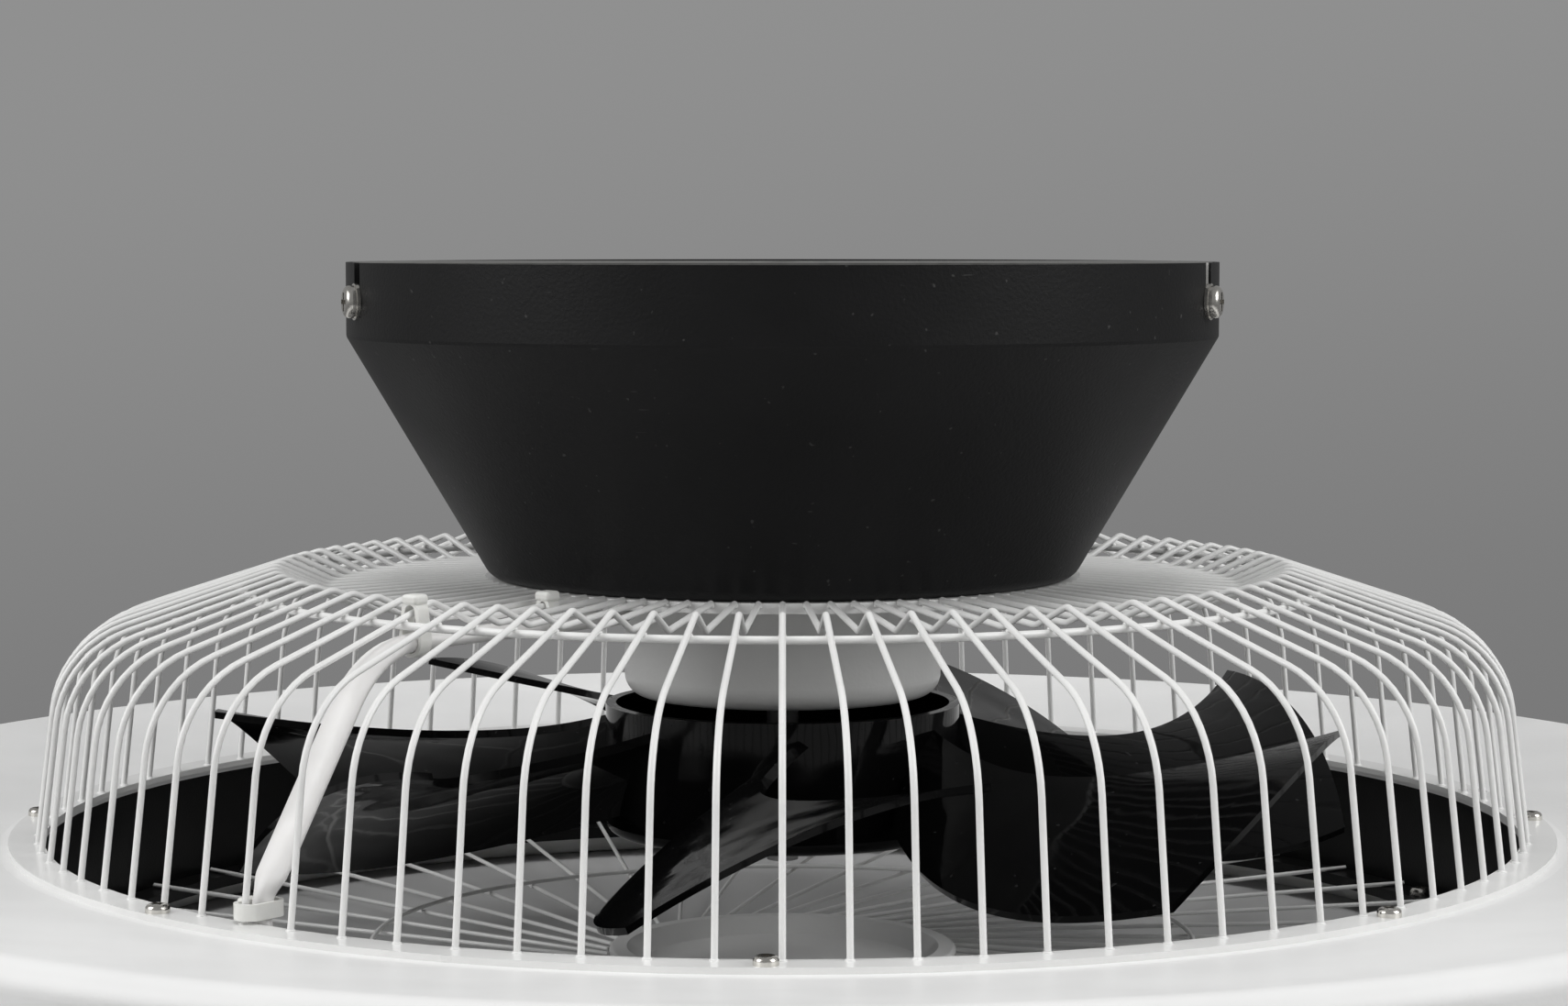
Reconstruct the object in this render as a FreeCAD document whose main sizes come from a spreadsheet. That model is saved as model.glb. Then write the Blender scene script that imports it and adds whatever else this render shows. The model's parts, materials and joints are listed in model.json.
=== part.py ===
import FreeCAD, Part
import math
import os
import re

import Sketcher

# A caged ceiling fan with a lamp ring. Millimetres, +Z up, origin at the centre of the ceiling plane.
# Driving dimensions: lengths in millimetres, angles in degrees, and counts.
SIZES = (
    # Canopy and its side screws
    ("canopy_radius", 110.0),
    ("canopy_band", 18.5),
    ("canopy_height", 79.5),
    ("canopy_foot_radius", 74.0),
    ("canopy_wall", 1.2),
    ("canopy_foot_round", 5.0),
    ("canopy_crease_round", 1.5),
    ("passage_radius", 7.0),
    ("slot_width", 5.6),
    ("screw_drop", 9.5),
    ("screw_angle", 19.5),
    ("canopy_screw_dia", 4.0),
    ("canopy_head_dia", 8.0),
    ("canopy_head_height", 2.6),
    ("canopy_screw_length", 8.0),
    ("canopy_washer_dia", 9.0),
    ("washer_thickness", 0.8),
    ("screw_play", 0.15),
    ("screw_tip_gap", 0.5),
    ("recess_width", 1.1),
    ("recess_depth", 1.2),
    # Ceiling bracket
    ("bracket_width", 86.0),
    ("bracket_thickness", 2.0),
    ("bracket_gap", 0.4),
    ("lug_width", 14.0),
    ("lug_drop", 18.0),
    ("ceiling_slot_spacing", 80.0),
    ("ceiling_slot_width", 5.5),
    ("ceiling_slot_length", 16.0),
    ("supply_hole_radius", 12.0),
    # Control box and terminals under the bracket
    ("box_length", 110.0),
    ("box_depth", 26.0),
    ("box_height", 26.0),
    ("box_wall", 2.0),
    ("box_offset", 28.0),
    ("board_play", 0.5),
    ("board_thickness", 1.6),
    ("peg_height", 2.4),
    ("peg_radius", 2.5),
    ("board_part_size", 9.0),
    ("terminal_length", 50.0),
    ("terminal_depth", 18.0),
    ("terminal_height", 14.0),
    ("terminal_ways", 5),
    # Wire cage
    ("plate_radius", 75.5),
    ("plate_thickness", 2.5),
    ("wire_count", 84),
    ("wire_dia", 1.55),
    ("wire_stand", 0.6),
    ("hoop_dia", 1.9),
    ("weld_gap", 0.05),
    ("valley_radius", 115.5),
    ("valley_sag", 2.3),
    ("valley_bend", 5.0),
    ("crest_radius", 128.0),
    ("crest_rise", 5.4),
    ("crest_bend", 3.0),
    ("roof_slope", 18.0),
    ("shoulder_bend", 26.0),
    ("wall_lean", 7.0),
    ("hoop_radius", 137.0),
    # Flange ring
    ("flange_drop", 142.0),
    ("flange_inner", 185.5),
    ("flange_width", 8.8),
    ("flange_thickness", 1.5),
    ("foot_inset", 1.5),
    ("flange_screw_count", 8),
    ("flange_screw_inset", 3.1),
    ("flange_screw_turn", -1.0),
    ("small_screw_dia", 3.0),
    ("small_head_dia", 5.5),
    ("small_head_height", 2.0),
    ("nut_flats", 5.5),
    ("nut_height", 2.4),
    # Motor
    ("motor_radius", 40.3),
    ("motor_height", 28.0),
    ("motor_wall", 2.5),
    ("motor_round", 5.5),
    ("motor_screw_length", 14.0),
    ("motor_boss_radius", 4.2),
    ("motor_boss_depth", 15.0),
    ("motor_boss_count", 4),
    ("sleeve_radius", 28.2),
    ("sleeve_wall", 1.3),
    ("shield_thickness", 3.0),
    ("shield_screw_count", 3),
    ("bearing_dia", 22.0),
    ("bearing_width", 7.0),
    ("bearing_wall", 2.5),
    ("seat_lip", 1.2),
    ("lip_inset", 2.0),
    ("shaft_dia", 8.0),
    ("running_play", 0.03),
    ("clip_dia", 13.0),
    ("clip_thickness", 0.8),
    ("clip_groove", 0.3),
    ("axial_play", 0.3),
    ("tooth_count", 9),
    ("tooth_width", 4.5),
    ("yoke_width", 4.0),
    ("coil_width", 1.5),
    ("coil_gap", 0.2),
    ("air_gap", 0.5),
    ("core_radius", 15.4),
    ("magnet_count", 8),
    ("magnet_thickness", 2.4),
    ("magnet_span", 40.0),
    # Rotor hub
    ("hub_radius", 45.2),
    ("hub_wall", 2.6),
    ("hub_gap", 2.0),
    ("hub_height", 33.0),
    ("hub_floor", 3.0),
    ("hub_round", 3.0),
    ("hub_boss_radius", 9.0),
    ("hub_boss_height", 24.0),
    ("hub_washer_dia", 18.0),
    ("hub_washer_thickness", 1.2),
    ("hub_nut_flats", 13.0),
    ("hub_nut_height", 5.0),
    ("shaft_end", 1.5),
    # Blades: distances along the blade are radii, drops are below the hub's rim
    ("blade_count", 7),
    ("blade_radius", 143.7),
    ("blade_turn", 9.3),
    ("blade_root_thickness", 2.8),
    ("blade_tip_thickness", 1.6),
    ("blade_camber", 0.07),
    ("front_waist_radius", 78.0),
    ("front_tip_reach", 133.0),
    ("front_tip_sweep", 54.0),
    ("front_root_sweep", 8.0),
    ("front_root_drop", 5.2),
    ("front_dip_radius", 88.0),
    ("front_dip_drop", 11.8),
    ("front_tip_drop", 1.8),
    ("back_belly_radius", 104.0),
    ("back_belly", 36.0),
    ("back_root_sweep", 9.4),
    ("back_root_drop", 26.0),
    ("back_low_drop", 37.6),
    # Lamp body
    ("lamp_radius", 269.5),
    ("lamp_side_height", 38.5),
    ("pan_sheet", 1.2),
    ("pan_inset", 0.7),
    ("pan_seat_margin", 2.7),
    ("pan_rise", 8.0),
    ("pan_shoulder", 7.5),
    ("pan_round", 6.0),
    ("pan_lip", 5.0),
    ("duct_inset", 1.0),
    ("duct_wall", 1.6),
    ("duct_flange_thickness", 2.0),
    ("duct_depth", 30.6),
    ("duct_lip_width", 8.5),
    ("duct_lip_thickness", 2.0),
    ("diffuser_wall", 2.2),
    ("diffuser_drop", 7.5),
    ("diffuser_play", 0.4),
    ("diffuser_round", 5.0),
    ("led_lead_gap", 1.0),
    ("led_wall_gap", 12.3),
    ("led_drop", 8.5),
    ("led_thickness", 1.6),
    ("led_count", 36),
    ("led_length", 3.5),
    ("led_width", 2.8),
    ("led_height", 0.8),
    ("post_count", 8),
    ("post_radius", 3.5),
    ("post_screw_length", 5.0),
    # Grille under the rotor
    ("grille_wire_count", 42),
    ("grille_wire_dia", 1.15),
    ("grille_wire_offset", 27.0),
    ("grille_wire_turn", 5.07),
    ("grille_hoop_radius", 105.0),
    ("grille_hoop_dia", 1.2),
    ("grille_ring_thickness", 1.2),
    ("grille_ring_play", 0.4),
    ("grille_screw_count", 6),
    ("cap_radius", 44.5),
    ("cap_sink", 4.1),
    ("cap_rim_width", 4.5),
    ("cap_rim_height", 2.6),
    ("cap_dish", 3.0),
    ("cap_sheet", 1.5),
    ("cap_round", 1.0),
    # Lamp lead, its ties and bushes; the lead lies in the plane of one cage wire
    ("lead_dia", 4.6),
    ("lead_wire_count", -9),
    ("lead_start_radius", 60.0),
    ("lead_start_rise", 14.0),
    ("lead_turn_radius", 147.5),
    ("lead_turn_bend", 28.0),
    ("lead_knee_inset", 1.2),
    ("lead_knee_rise", 5.5),
    ("lead_knee_bend", 12.0),
    ("lead_foot_inset", 3.0),
    ("lead_foot_drop", 10.8),
    ("lead_foot_bend", 6.2),
    ("lead_tail", 20.7),
    ("lead_tail_fall", 3.2),
    ("bush_wall", 1.3),
    ("bush_collar", 1.2),
    ("bush_play", 0.1),
    ("tie_width", 3.6),
    ("tie_thickness", 1.0),
    ("tie_play", 0.15),
    ("tie_head", 4.6),
    ("tie_head_height", 2.4),
    ("tie_round", 0.9),
    ("tie_inner_radius", 89.0),
    ("tie_outer_radius", 133.5),
    ("tie_foot_rise", 2.6),
)

# Heights and radii that follow from the driving dimensions
LEVELS = (
    ("canopy_screw_hole", "canopy_screw_dia / 2 + screw_play"),
    ("small_screw_hole", "small_screw_dia / 2 + screw_play"),
    ("canopy_inside", "canopy_radius - canopy_wall"),
    ("canopy_floor", "-(canopy_height - canopy_wall)"),
    ("bracket_radius", "canopy_inside - bracket_gap"),
    ("box_top", "-bracket_thickness"),
    ("box_bottom", "box_top - box_height"),
    ("lid_bottom", "box_bottom - box_wall"),
    ("plate_top", "-canopy_height"),
    ("plate_bottom", "plate_top - plate_thickness"),
    ("wire_floor", "plate_top + wire_stand - wire_dia / 2"),
    ("wire_start", "plate_radius + weld_gap"),
    ("valley_height", "wire_floor - valley_sag"),
    ("crest_height", "valley_height + crest_rise"),
    ("flange_top", "-flange_drop"),
    ("flange_bottom", "flange_top - flange_thickness"),
    ("flange_outer", "flange_inner + flange_width"),
    ("flange_screw_circle", "flange_outer - flange_screw_inset"),
    ("wire_foot_radius", "flange_inner + foot_inset"),
    ("motor_top", "plate_bottom"),
    ("motor_bottom", "motor_top - motor_height"),
    ("motor_floor", "motor_bottom + motor_wall"),
    ("motor_inside", "motor_radius - motor_wall"),
    ("motor_screw_circle", "motor_inside - motor_boss_radius + screw_play"),
    ("bearing_radius", "bearing_dia / 2"),
    ("bearing_boss", "bearing_radius + bearing_wall"),
    ("lip_radius", "bearing_radius - lip_inset"),
    ("lower_seat", "motor_bottom + seat_lip"),
    ("lower_top", "lower_seat + bearing_width"),
    ("core_bottom", "lower_top + axial_play"),
    ("upper_top", "motor_top - seat_lip"),
    ("upper_seat", "upper_top - bearing_width"),
    ("upper_lip", "upper_seat - seat_lip"),
    ("core_top", "upper_lip - axial_play - coil_gap - coil_width"),
    ("sleeve_top", "upper_lip"),
    ("shield_top", "sleeve_top + shield_thickness"),
    ("shaft_radius", "shaft_dia / 2"),
    ("bearing_bore", "shaft_radius + running_play"),
    ("clip_bottom", "upper_top + axial_play"),
    ("clip_top", "clip_bottom + clip_thickness"),
    ("groove_radius", "shaft_radius - clip_groove"),
    ("shaft_top", "clip_top + clip_thickness"),
    ("hub_top", "motor_bottom - hub_gap"),
    ("hub_bottom", "hub_top - hub_height"),
    ("hub_inside", "hub_radius - hub_wall"),
    ("hub_deck", "hub_bottom + hub_floor"),
    ("hub_boss_top", "hub_bottom + hub_boss_height"),
    ("hub_washer_bottom", "hub_bottom - hub_washer_thickness"),
    ("hub_nut_bottom", "hub_washer_bottom - hub_nut_height"),
    ("shaft_bottom", "hub_nut_bottom - shaft_end"),
    ("pan_inner", "flange_inner + pan_inset"),
    ("pan_seat_outer", "flange_outer + pan_seat_margin"),
    ("pan_bottom", "flange_bottom - pan_sheet"),
    ("lamp_top", "flange_bottom + pan_rise"),
    ("lamp_rim", "lamp_top - lamp_side_height"),
    ("lamp_inside", "lamp_radius - pan_sheet"),
    ("pan_lip_inner", "lamp_radius - pan_lip"),
    ("duct_inner", "flange_inner + duct_inset"),
    ("duct_outer", "duct_inner + duct_wall"),
    ("duct_flange_bottom", "pan_bottom - duct_flange_thickness"),
    ("duct_bottom", "pan_bottom - duct_depth"),
    ("duct_lip_top", "duct_bottom + duct_lip_thickness"),
    ("duct_lip_inner", "duct_inner - duct_lip_width"),
    ("diffuser_seat", "lamp_rim + pan_sheet"),
    ("diffuser_bottom", "lamp_rim - diffuser_drop"),
    ("diffuser_inner", "duct_outer + diffuser_play"),
    ("diffuser_outer", "pan_lip_inner - diffuser_play"),
    ("led_inner", "flange_inner - lead_foot_inset + lead_tail + led_lead_gap"),
    ("led_outer", "lamp_inside - led_wall_gap"),
    ("led_row_inset", "(led_outer - led_inner) / 4"),
    ("led_top", "pan_bottom - led_drop"),
    ("led_bottom", "led_top - led_thickness"),
    ("post_circle", "(led_inner + led_outer) / 2"),
    ("grille_ring_top", "duct_lip_top + grille_ring_thickness"),
    ("grille_ring_outer", "duct_inner - grille_ring_play"),
    ("cap_top", "grille_ring_top - cap_sink + cap_rim_height / 2"),
    ("lead_run_height", "min(plate_bottom; valley_height - wire_dia / 2) - tie_play - lead_dia / 2"),
    ("lead_first_bend", "plate_top - lead_run_height - bush_play"),
    ("bush_radius", "lead_dia / 2 + bush_play + bush_wall"),
)

doc = FreeCAD.newDocument("CagedCeilingFan")
sheet = doc.addObject("Spreadsheet::Sheet", "Sizes")
levels = doc.addObject("App::VarSet", "Levels")
pieces = []
OVERCUT = 1.0
HEAD_ROUND_SHARE = 0.6
RECESS_REACH_SHARE = 0.29
UP = FreeCAD.Vector(0, 0, 1)
ORIGIN = FreeCAD.Vector(0, 0, 0)
SIZE_NAMES = {name for name, _ in SIZES}
LEVEL_NAMES = {name for name, _ in LEVELS}


def bind(text):
    """Write an expression of plain size names as one that the document understands."""
    def owner(match):
        word = match.group(0)
        if word in SIZE_NAMES:
            return "Sizes." + word
        if word in LEVEL_NAMES:
            return "Levels." + word
        return word
    return re.sub(r"[a-z_]+", owner, text)


def fill_sheet():
    """Put the driving dimensions in the sheet and the derived ones in the variable set."""
    for row, (name, number) in enumerate(SIZES, start=1):
        sheet.set("A%d" % row, name.replace("_", " "))
        sheet.set("B%d" % row, str(number))
        sheet.setAlias("B%d" % row, name)
    doc.recompute()
    for name, text in LEVELS:
        levels.addProperty("App::PropertyFloat", name, "Derived")
        levels.setExpression(name, bind(text))
    doc.recompute()


def val(name):
    """Return one driving or derived size as a number."""
    if name in LEVEL_NAMES:
        return getattr(levels, name)
    return sheet.get(name)


def piece(label, thing):
    """Give a finished sub-part its name and keep it for the export."""
    thing.Label = label
    pieces.append(thing)
    return thing


def helper(label, shape):
    """Add a shape that only serves to make another sub-part."""
    thing = doc.addObject("Part::Feature", label)
    thing.Shape = shape
    return thing


def group(label, solids):
    """Add a sub-part made of one solid, or of like solids that stay separate."""
    shape = solids[0] if len(solids) == 1 else Part.makeCompound(solids)
    return piece(label, helper(label, shape))


def circle_edge(shape, radius, height):
    """Return the name of the round edge of this radius at this height."""
    near = 1e-4
    for number, edge in enumerate(shape.Edges, start=1):
        curve = edge.Curve
        if not isinstance(curve, Part.Circle):
            continue
        if abs(curve.Radius - radius) < near and abs(curve.Center.z - height) < near:
            return "Edge%d" % number
    raise ValueError("no round edge at radius %g, height %g" % (radius, height))


def turned(label, outline, rounds=None):
    """Turn a closed outline of (radius, height) expressions about the axis.

    rounds gives, for the corner with that number, the expression of its fillet's radius.
    """
    body = doc.addObject("PartDesign::Body", label + "_body")
    sketch = body.newObject("Sketcher::SketchObject", label + "_outline")
    plane = [item for item in body.Origin.OriginFeatures if item.Role == "XZ_Plane"][0]
    sketch.AttachmentSupport = [(plane, "")]
    sketch.MapMode = "FlatFace"
    count = len(outline)
    start = []
    for number in range(count):
        angle = 2 * math.pi * number / count
        start.append(FreeCAD.Vector(count * (2 + math.cos(angle)), count * math.sin(angle), 0))
    for number in range(count):
        sketch.addGeometry(Part.LineSegment(start[number], start[(number + 1) % count]), False)
    rules = [Sketcher.Constraint("Coincident", i, 2, (i + 1) % count, 1) for i in range(count)]
    for number, point in enumerate(start):
        rules.append(Sketcher.Constraint("DistanceX", -1, 1, number, 1, point.x))
        rules.append(Sketcher.Constraint("DistanceY", -1, 1, number, 1, point.y))
    sketch.addConstraint(rules)
    for number, (radius, height) in enumerate(outline):
        place = count + 2 * number
        sketch.renameConstraint(place, "radius%d" % number)
        sketch.renameConstraint(place + 1, "height%d" % number)
        sketch.setExpression("Constraints.radius%d" % number, bind(radius))
        sketch.setExpression("Constraints.height%d" % number, bind(height))
    feature = body.newObject("PartDesign::Revolution", label + "_turn")
    feature.Profile = (sketch, [""])
    feature.ReferenceAxis = (sketch, ["V_Axis"])
    feature.Angle = 360
    doc.recompute()
    for corner, radius in (rounds or {}).items():
        point = sketch.Geometry[corner].StartPoint
        edge = circle_edge(feature.Shape, point.x, point.y)
        fillet = body.newObject("PartDesign::Fillet", "%s_round%d" % (label, corner))
        fillet.Base = (feature, [edge])
        fillet.setExpression("Radius", bind(radius))
        doc.recompute()
        feature = fillet
    return body


def washer_ring(label, inner, outer, bottom, top):
    """Turn a flat ring between two radii and two heights."""
    return turned(label, [(inner, bottom), (outer, bottom), (outer, top), (inner, top)])


def wire_hoop(label, radius, dia, height):
    """Add a round hoop of wire about the axis."""
    hoop = doc.addObject("Part::Torus", label)
    hoop.setExpression("Radius1", bind(radius))
    hoop.setExpression("Radius2", bind(dia + " / 2"))
    hoop.Placement.Base = FreeCAD.Vector(0, 0, height)
    return piece(label, hoop)


def drilled(label, base, tools):
    """Cut tool shapes out of a base object and keep the result as a sub-part."""
    cut = doc.addObject("Part::Cut", label)
    cut.Base = base
    cut.Tool = helper(label + "_holes", Part.makeCompound(tools))
    doc.recompute()
    if cut.Shape.Volume >= base.Shape.Volume:
        raise ValueError("%s: the holes cut nothing" % label)
    return piece(label, cut)


def rod(radius, bottom, top, x=0.0, y=0.0):
    """Return an upright cylinder between two heights."""
    return Part.makeCylinder(radius, top - bottom, FreeCAD.Vector(x, y, bottom), UP)


def block(x_span, y_span, z_span):
    """Return a box between the two ends of each span."""
    low = FreeCAD.Vector(x_span[0], y_span[0], z_span[0])
    return Part.makeBox(x_span[1] - x_span[0], y_span[1] - y_span[0], z_span[1] - z_span[0], low)


def around(shape, angles):
    """Return copies of a shape turned about the axis to these angles in degrees."""
    copies = []
    for angle in angles:
        copy = shape.copy()
        copy.rotate(ORIGIN, UP, angle)
        copies.append(copy)
    return copies


def evenly(count, first=0.0):
    """Return equal angles round a full turn."""
    return [first + 360.0 * number / count for number in range(int(count))]


def pan_screw(dia, head_dia, head_height, length):
    """Return a cross-head screw with its head's underside at height 0, pointing down."""
    head = rod(head_dia / 2, 0, head_height)
    top_edge = [edge for edge in head.Edges if abs(edge.BoundBox.ZMin - head_height) < 1e-6]
    head = head.makeFillet(head_height * HEAD_ROUND_SHARE, top_edge)
    width = val("recess_width") / 2
    reach = head_dia * RECESS_REACH_SHARE
    floor = head_height - val("recess_depth")
    slot = block((-reach, reach), (-width, width), (floor, head_height + OVERCUT))
    cross = slot.copy()
    cross.rotate(ORIGIN, UP, 90)
    return head.cut(slot.fuse(cross)).fuse(rod(dia / 2, -length, 0)).removeSplitter()


def hex_nut(flats, bore, bottom, top, x=0.0):
    """Return a hexagonal nut with a flat towards the axis."""
    corner = flats / math.sqrt(3)
    ring = []
    for number in range(7):
        angle = math.radians(30 + 60 * number)
        ring.append(FreeCAD.Vector(x + corner * math.cos(angle), corner * math.sin(angle), bottom))
    prism = Part.Face(Part.makePolygon(ring)).extrude(FreeCAD.Vector(0, 0, top - bottom))
    return prism.cut(rod(bore, bottom - OVERCUT, top + OVERCUT, x))


def bent_rod(points, bends, dia):
    """Sweep a round section along straight runs joined by tangent arcs."""
    edges = []
    start = points[0]
    length = 0.0
    for number, bend in enumerate(bends, start=1):
        corner = points[number]
        back = (points[number - 1] - corner).normalize()
        ahead = (points[number + 1] - corner).normalize()
        half = back.getAngle(ahead) / 2
        reach = bend / math.tan(half)
        middle = (back + ahead).normalize()
        first = corner + back * reach
        last = corner + ahead * reach
        crown = corner + middle * (bend / math.sin(half) - bend)
        edges.append(Part.LineSegment(start, first).toShape())
        edges.append(Part.Arc(first, crown, last).toShape())
        start = last
    edges.append(Part.LineSegment(start, points[-1]).toShape())
    path = Part.Wire(edges)
    for edge in edges:
        length += edge.Length
    section = Part.Wire(Part.makeCircle(dia / 2, points[0], (points[1] - points[0]).normalize()))
    solid = path.makePipeShell([section], True, False)
    wanted = math.pi * dia * dia / 4 * length
    if abs(solid.Volume - wanted) > 0.01 * wanted:
        raise ValueError("a swept rod has the wrong volume")
    return solid


def in_plane(radius, height):
    """Return a point of the upright plane through the X axis."""
    return FreeCAD.Vector(radius, 0, height)


def screw_angles():
    """Return the directions of the canopy's four side screws."""
    tilt = val("screw_angle")
    return [tilt, -tilt, 180 - tilt, 180 + tilt]


def flange_angles():
    """Return the directions of the flange screws, counted from the front."""
    return evenly(val("flange_screw_count"), -90 + val("flange_screw_turn"))


def motor_angles():
    """Return the directions of the motor's fixing screws."""
    return evenly(val("motor_boss_count"), 180.0 / val("motor_boss_count"))


def lead_angle():
    """Return the direction of the plane that the lamp lead lies in."""
    return -90 + 360.0 * val("lead_wire_count") / val("wire_count")


def lead_points():
    """Return the corners of the lead's route in its upright plane."""
    run = val("lead_run_height")
    foot_radius = val("flange_inner") - val("lead_foot_inset")
    foot_height = val("flange_top") - val("lead_foot_drop")
    tail = val("lead_tail")
    return [in_plane(val("lead_start_radius"), val("canopy_floor") + val("lead_start_rise")),
            in_plane(val("lead_start_radius"), run),
            in_plane(val("lead_turn_radius"), run),
            in_plane(foot_radius - val("lead_knee_inset"), val("flange_top") + val("lead_knee_rise")),
            in_plane(foot_radius, foot_height),
            in_plane(foot_radius + tail, foot_height - val("lead_tail_fall"))]


def lead_under_at(radius):
    """Return the height of the lead's underside on its level run or on the bend that ends it."""
    turn = lead_points()[2]
    slope = lead_points()[3] - turn
    bend = val("lead_turn_bend")
    bend_start = turn.x - bend * math.tan(math.atan2(-slope.z, slope.x) / 2)
    inside = bend - val("lead_dia") / 2
    past = max(0.0, radius - bend_start)
    return turn.z - bend + math.sqrt(inside * inside - past * past)


def wire_floor_at(radius):
    """Return the height of a cage wire's middle on its sunken floor."""
    share = (radius - val("wire_start")) / (val("valley_radius") - val("wire_start"))
    return val("wire_floor") - share * val("valley_sag")


def wire_height_at(radius):
    """Return the height of a cage wire's middle on its sloping roof."""
    fall = math.tan(math.radians(val("roof_slope")))
    return val("crest_height") - fall * (radius - val("crest_radius"))


def wire_radius_at(height):
    """Return the radius of a cage wire's middle on its leaning wall."""
    lean = math.tan(math.radians(val("wall_lean")))
    return val("wire_foot_radius") - lean * (height - val("flange_top"))


# Ceiling bracket, canopy and what hangs under the bracket
def make_bracket():
    """Cut the bracket's plate from a strip and a disc, with four lugs for the canopy's screws."""
    strip = doc.addObject("Part::Box", "bracket_strip")
    strip.setExpression("Length", bind("2 * bracket_radius"))
    strip.setExpression("Width", bind("bracket_width"))
    strip.setExpression("Height", bind("bracket_thickness"))
    strip.setExpression("Placement.Base.x", bind("-bracket_radius"))
    strip.setExpression("Placement.Base.y", bind("-bracket_width / 2"))
    strip.setExpression("Placement.Base.z", bind("-bracket_thickness"))
    disc = doc.addObject("Part::Cylinder", "bracket_disc")
    disc.setExpression("Radius", bind("bracket_radius"))
    disc.setExpression("Height", bind("bracket_thickness"))
    disc.setExpression("Placement.Base.z", bind("-bracket_thickness"))
    plate = doc.addObject("Part::Common", "bracket_plate")
    plate.Base = strip
    plate.Tool = disc
    outer = val("bracket_radius") * math.cos(val("lug_width") / 2 / val("bracket_radius"))
    half = val("lug_width") / 2
    lug = block((outer - val("bracket_thickness"), outer), (-half, half), (-val("lug_drop"), 0))
    lugs = helper("bracket_lugs", Part.makeCompound(around(lug, screw_angles())))
    whole = doc.addObject("Part::Fuse", "bracket_whole")
    whole.Base = plate
    whole.Tool = lugs
    doc.recompute()
    depth = (-val("bracket_thickness") - OVERCUT, OVERCUT)
    slot_end = val("ceiling_slot_width") / 2
    slot_run = val("ceiling_slot_length") / 2 - slot_end
    tools = [rod(val("supply_hole_radius"), *depth)]
    for side in (-1, 1):
        middle = side * val("ceiling_slot_spacing") / 2
        slot = block((middle - slot_run, middle + slot_run), (-slot_end, slot_end), depth)
        for end in (-slot_run, slot_run):
            slot = slot.fuse(rod(slot_end, *depth, middle + end))
        tools.append(slot.removeSplitter())
    tools += around(side_hole(val("canopy_screw_hole")), screw_angles())
    drilled("ceiling_bracket", whole, tools)


def side_span():
    """Return the radii between which the side holes run, through lug and canopy wall."""
    return val("bracket_radius") - 2 * val("bracket_thickness"), val("canopy_radius") + OVERCUT


def side_hole(radius):
    """Return a level cylinder through the canopy's wall at the height of its screws."""
    near, far = side_span()
    start = FreeCAD.Vector(near, 0, -val("screw_drop"))
    return Part.makeCylinder(radius, far - near, start, FreeCAD.Vector(1, 0, 0))


def make_canopy():
    """Turn the canopy's shell, then cut its rim slots and the holes in its floor."""
    shell = turned("canopy", [
        ("canopy_radius", "0"),
        ("canopy_radius", "-canopy_band"),
        ("canopy_foot_radius", "-canopy_height"),
        ("passage_radius", "-canopy_height"),
        ("passage_radius", "canopy_floor"),
        ("canopy_foot_radius - canopy_wall", "canopy_floor"),
        ("canopy_inside", "-canopy_band"),
        ("canopy_inside", "0"),
    ], {2: "canopy_foot_round", 5: "canopy_foot_round - canopy_wall", 1: "canopy_crease_round"})
    half = val("slot_width") / 2
    slot = block(side_span(), (-half, half), (-val("screw_drop"), OVERCUT)).fuse(side_hole(half))
    tools = around(slot, screw_angles())
    floor = (val("plate_top") - OVERCUT, val("canopy_floor") + OVERCUT)
    screw_hole = rod(val("canopy_screw_hole"), *floor, val("motor_screw_circle"))
    tools += around(screw_hole, motor_angles())
    tools += around(rod(val("bush_radius"), *floor, val("lead_start_radius")), [lead_angle()])
    drilled("canopy", shell, tools)


def make_canopy_screws():
    """Set the side screws and their washers against the canopy's band."""
    screw = pan_screw(val("canopy_screw_dia"), val("canopy_head_dia"), val("canopy_head_height"),
                      val("canopy_screw_length"))
    screw.rotate(ORIGIN, FreeCAD.Vector(0, 1, 0), 90)
    seat = val("canopy_radius") + val("washer_thickness")
    screw.translate(FreeCAD.Vector(seat, 0, -val("screw_drop")))
    group("canopy_screws", around(screw, screw_angles()))
    start = FreeCAD.Vector(val("canopy_radius"), 0, -val("screw_drop"))
    out = FreeCAD.Vector(1, 0, 0)
    ring = Part.makeCylinder(val("canopy_washer_dia") / 2, val("washer_thickness"), start, out)
    hole = Part.makeCylinder(val("canopy_screw_hole"), val("washer_thickness"), start, out)
    group("canopy_washers", around(ring.cut(hole), screw_angles()))


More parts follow.
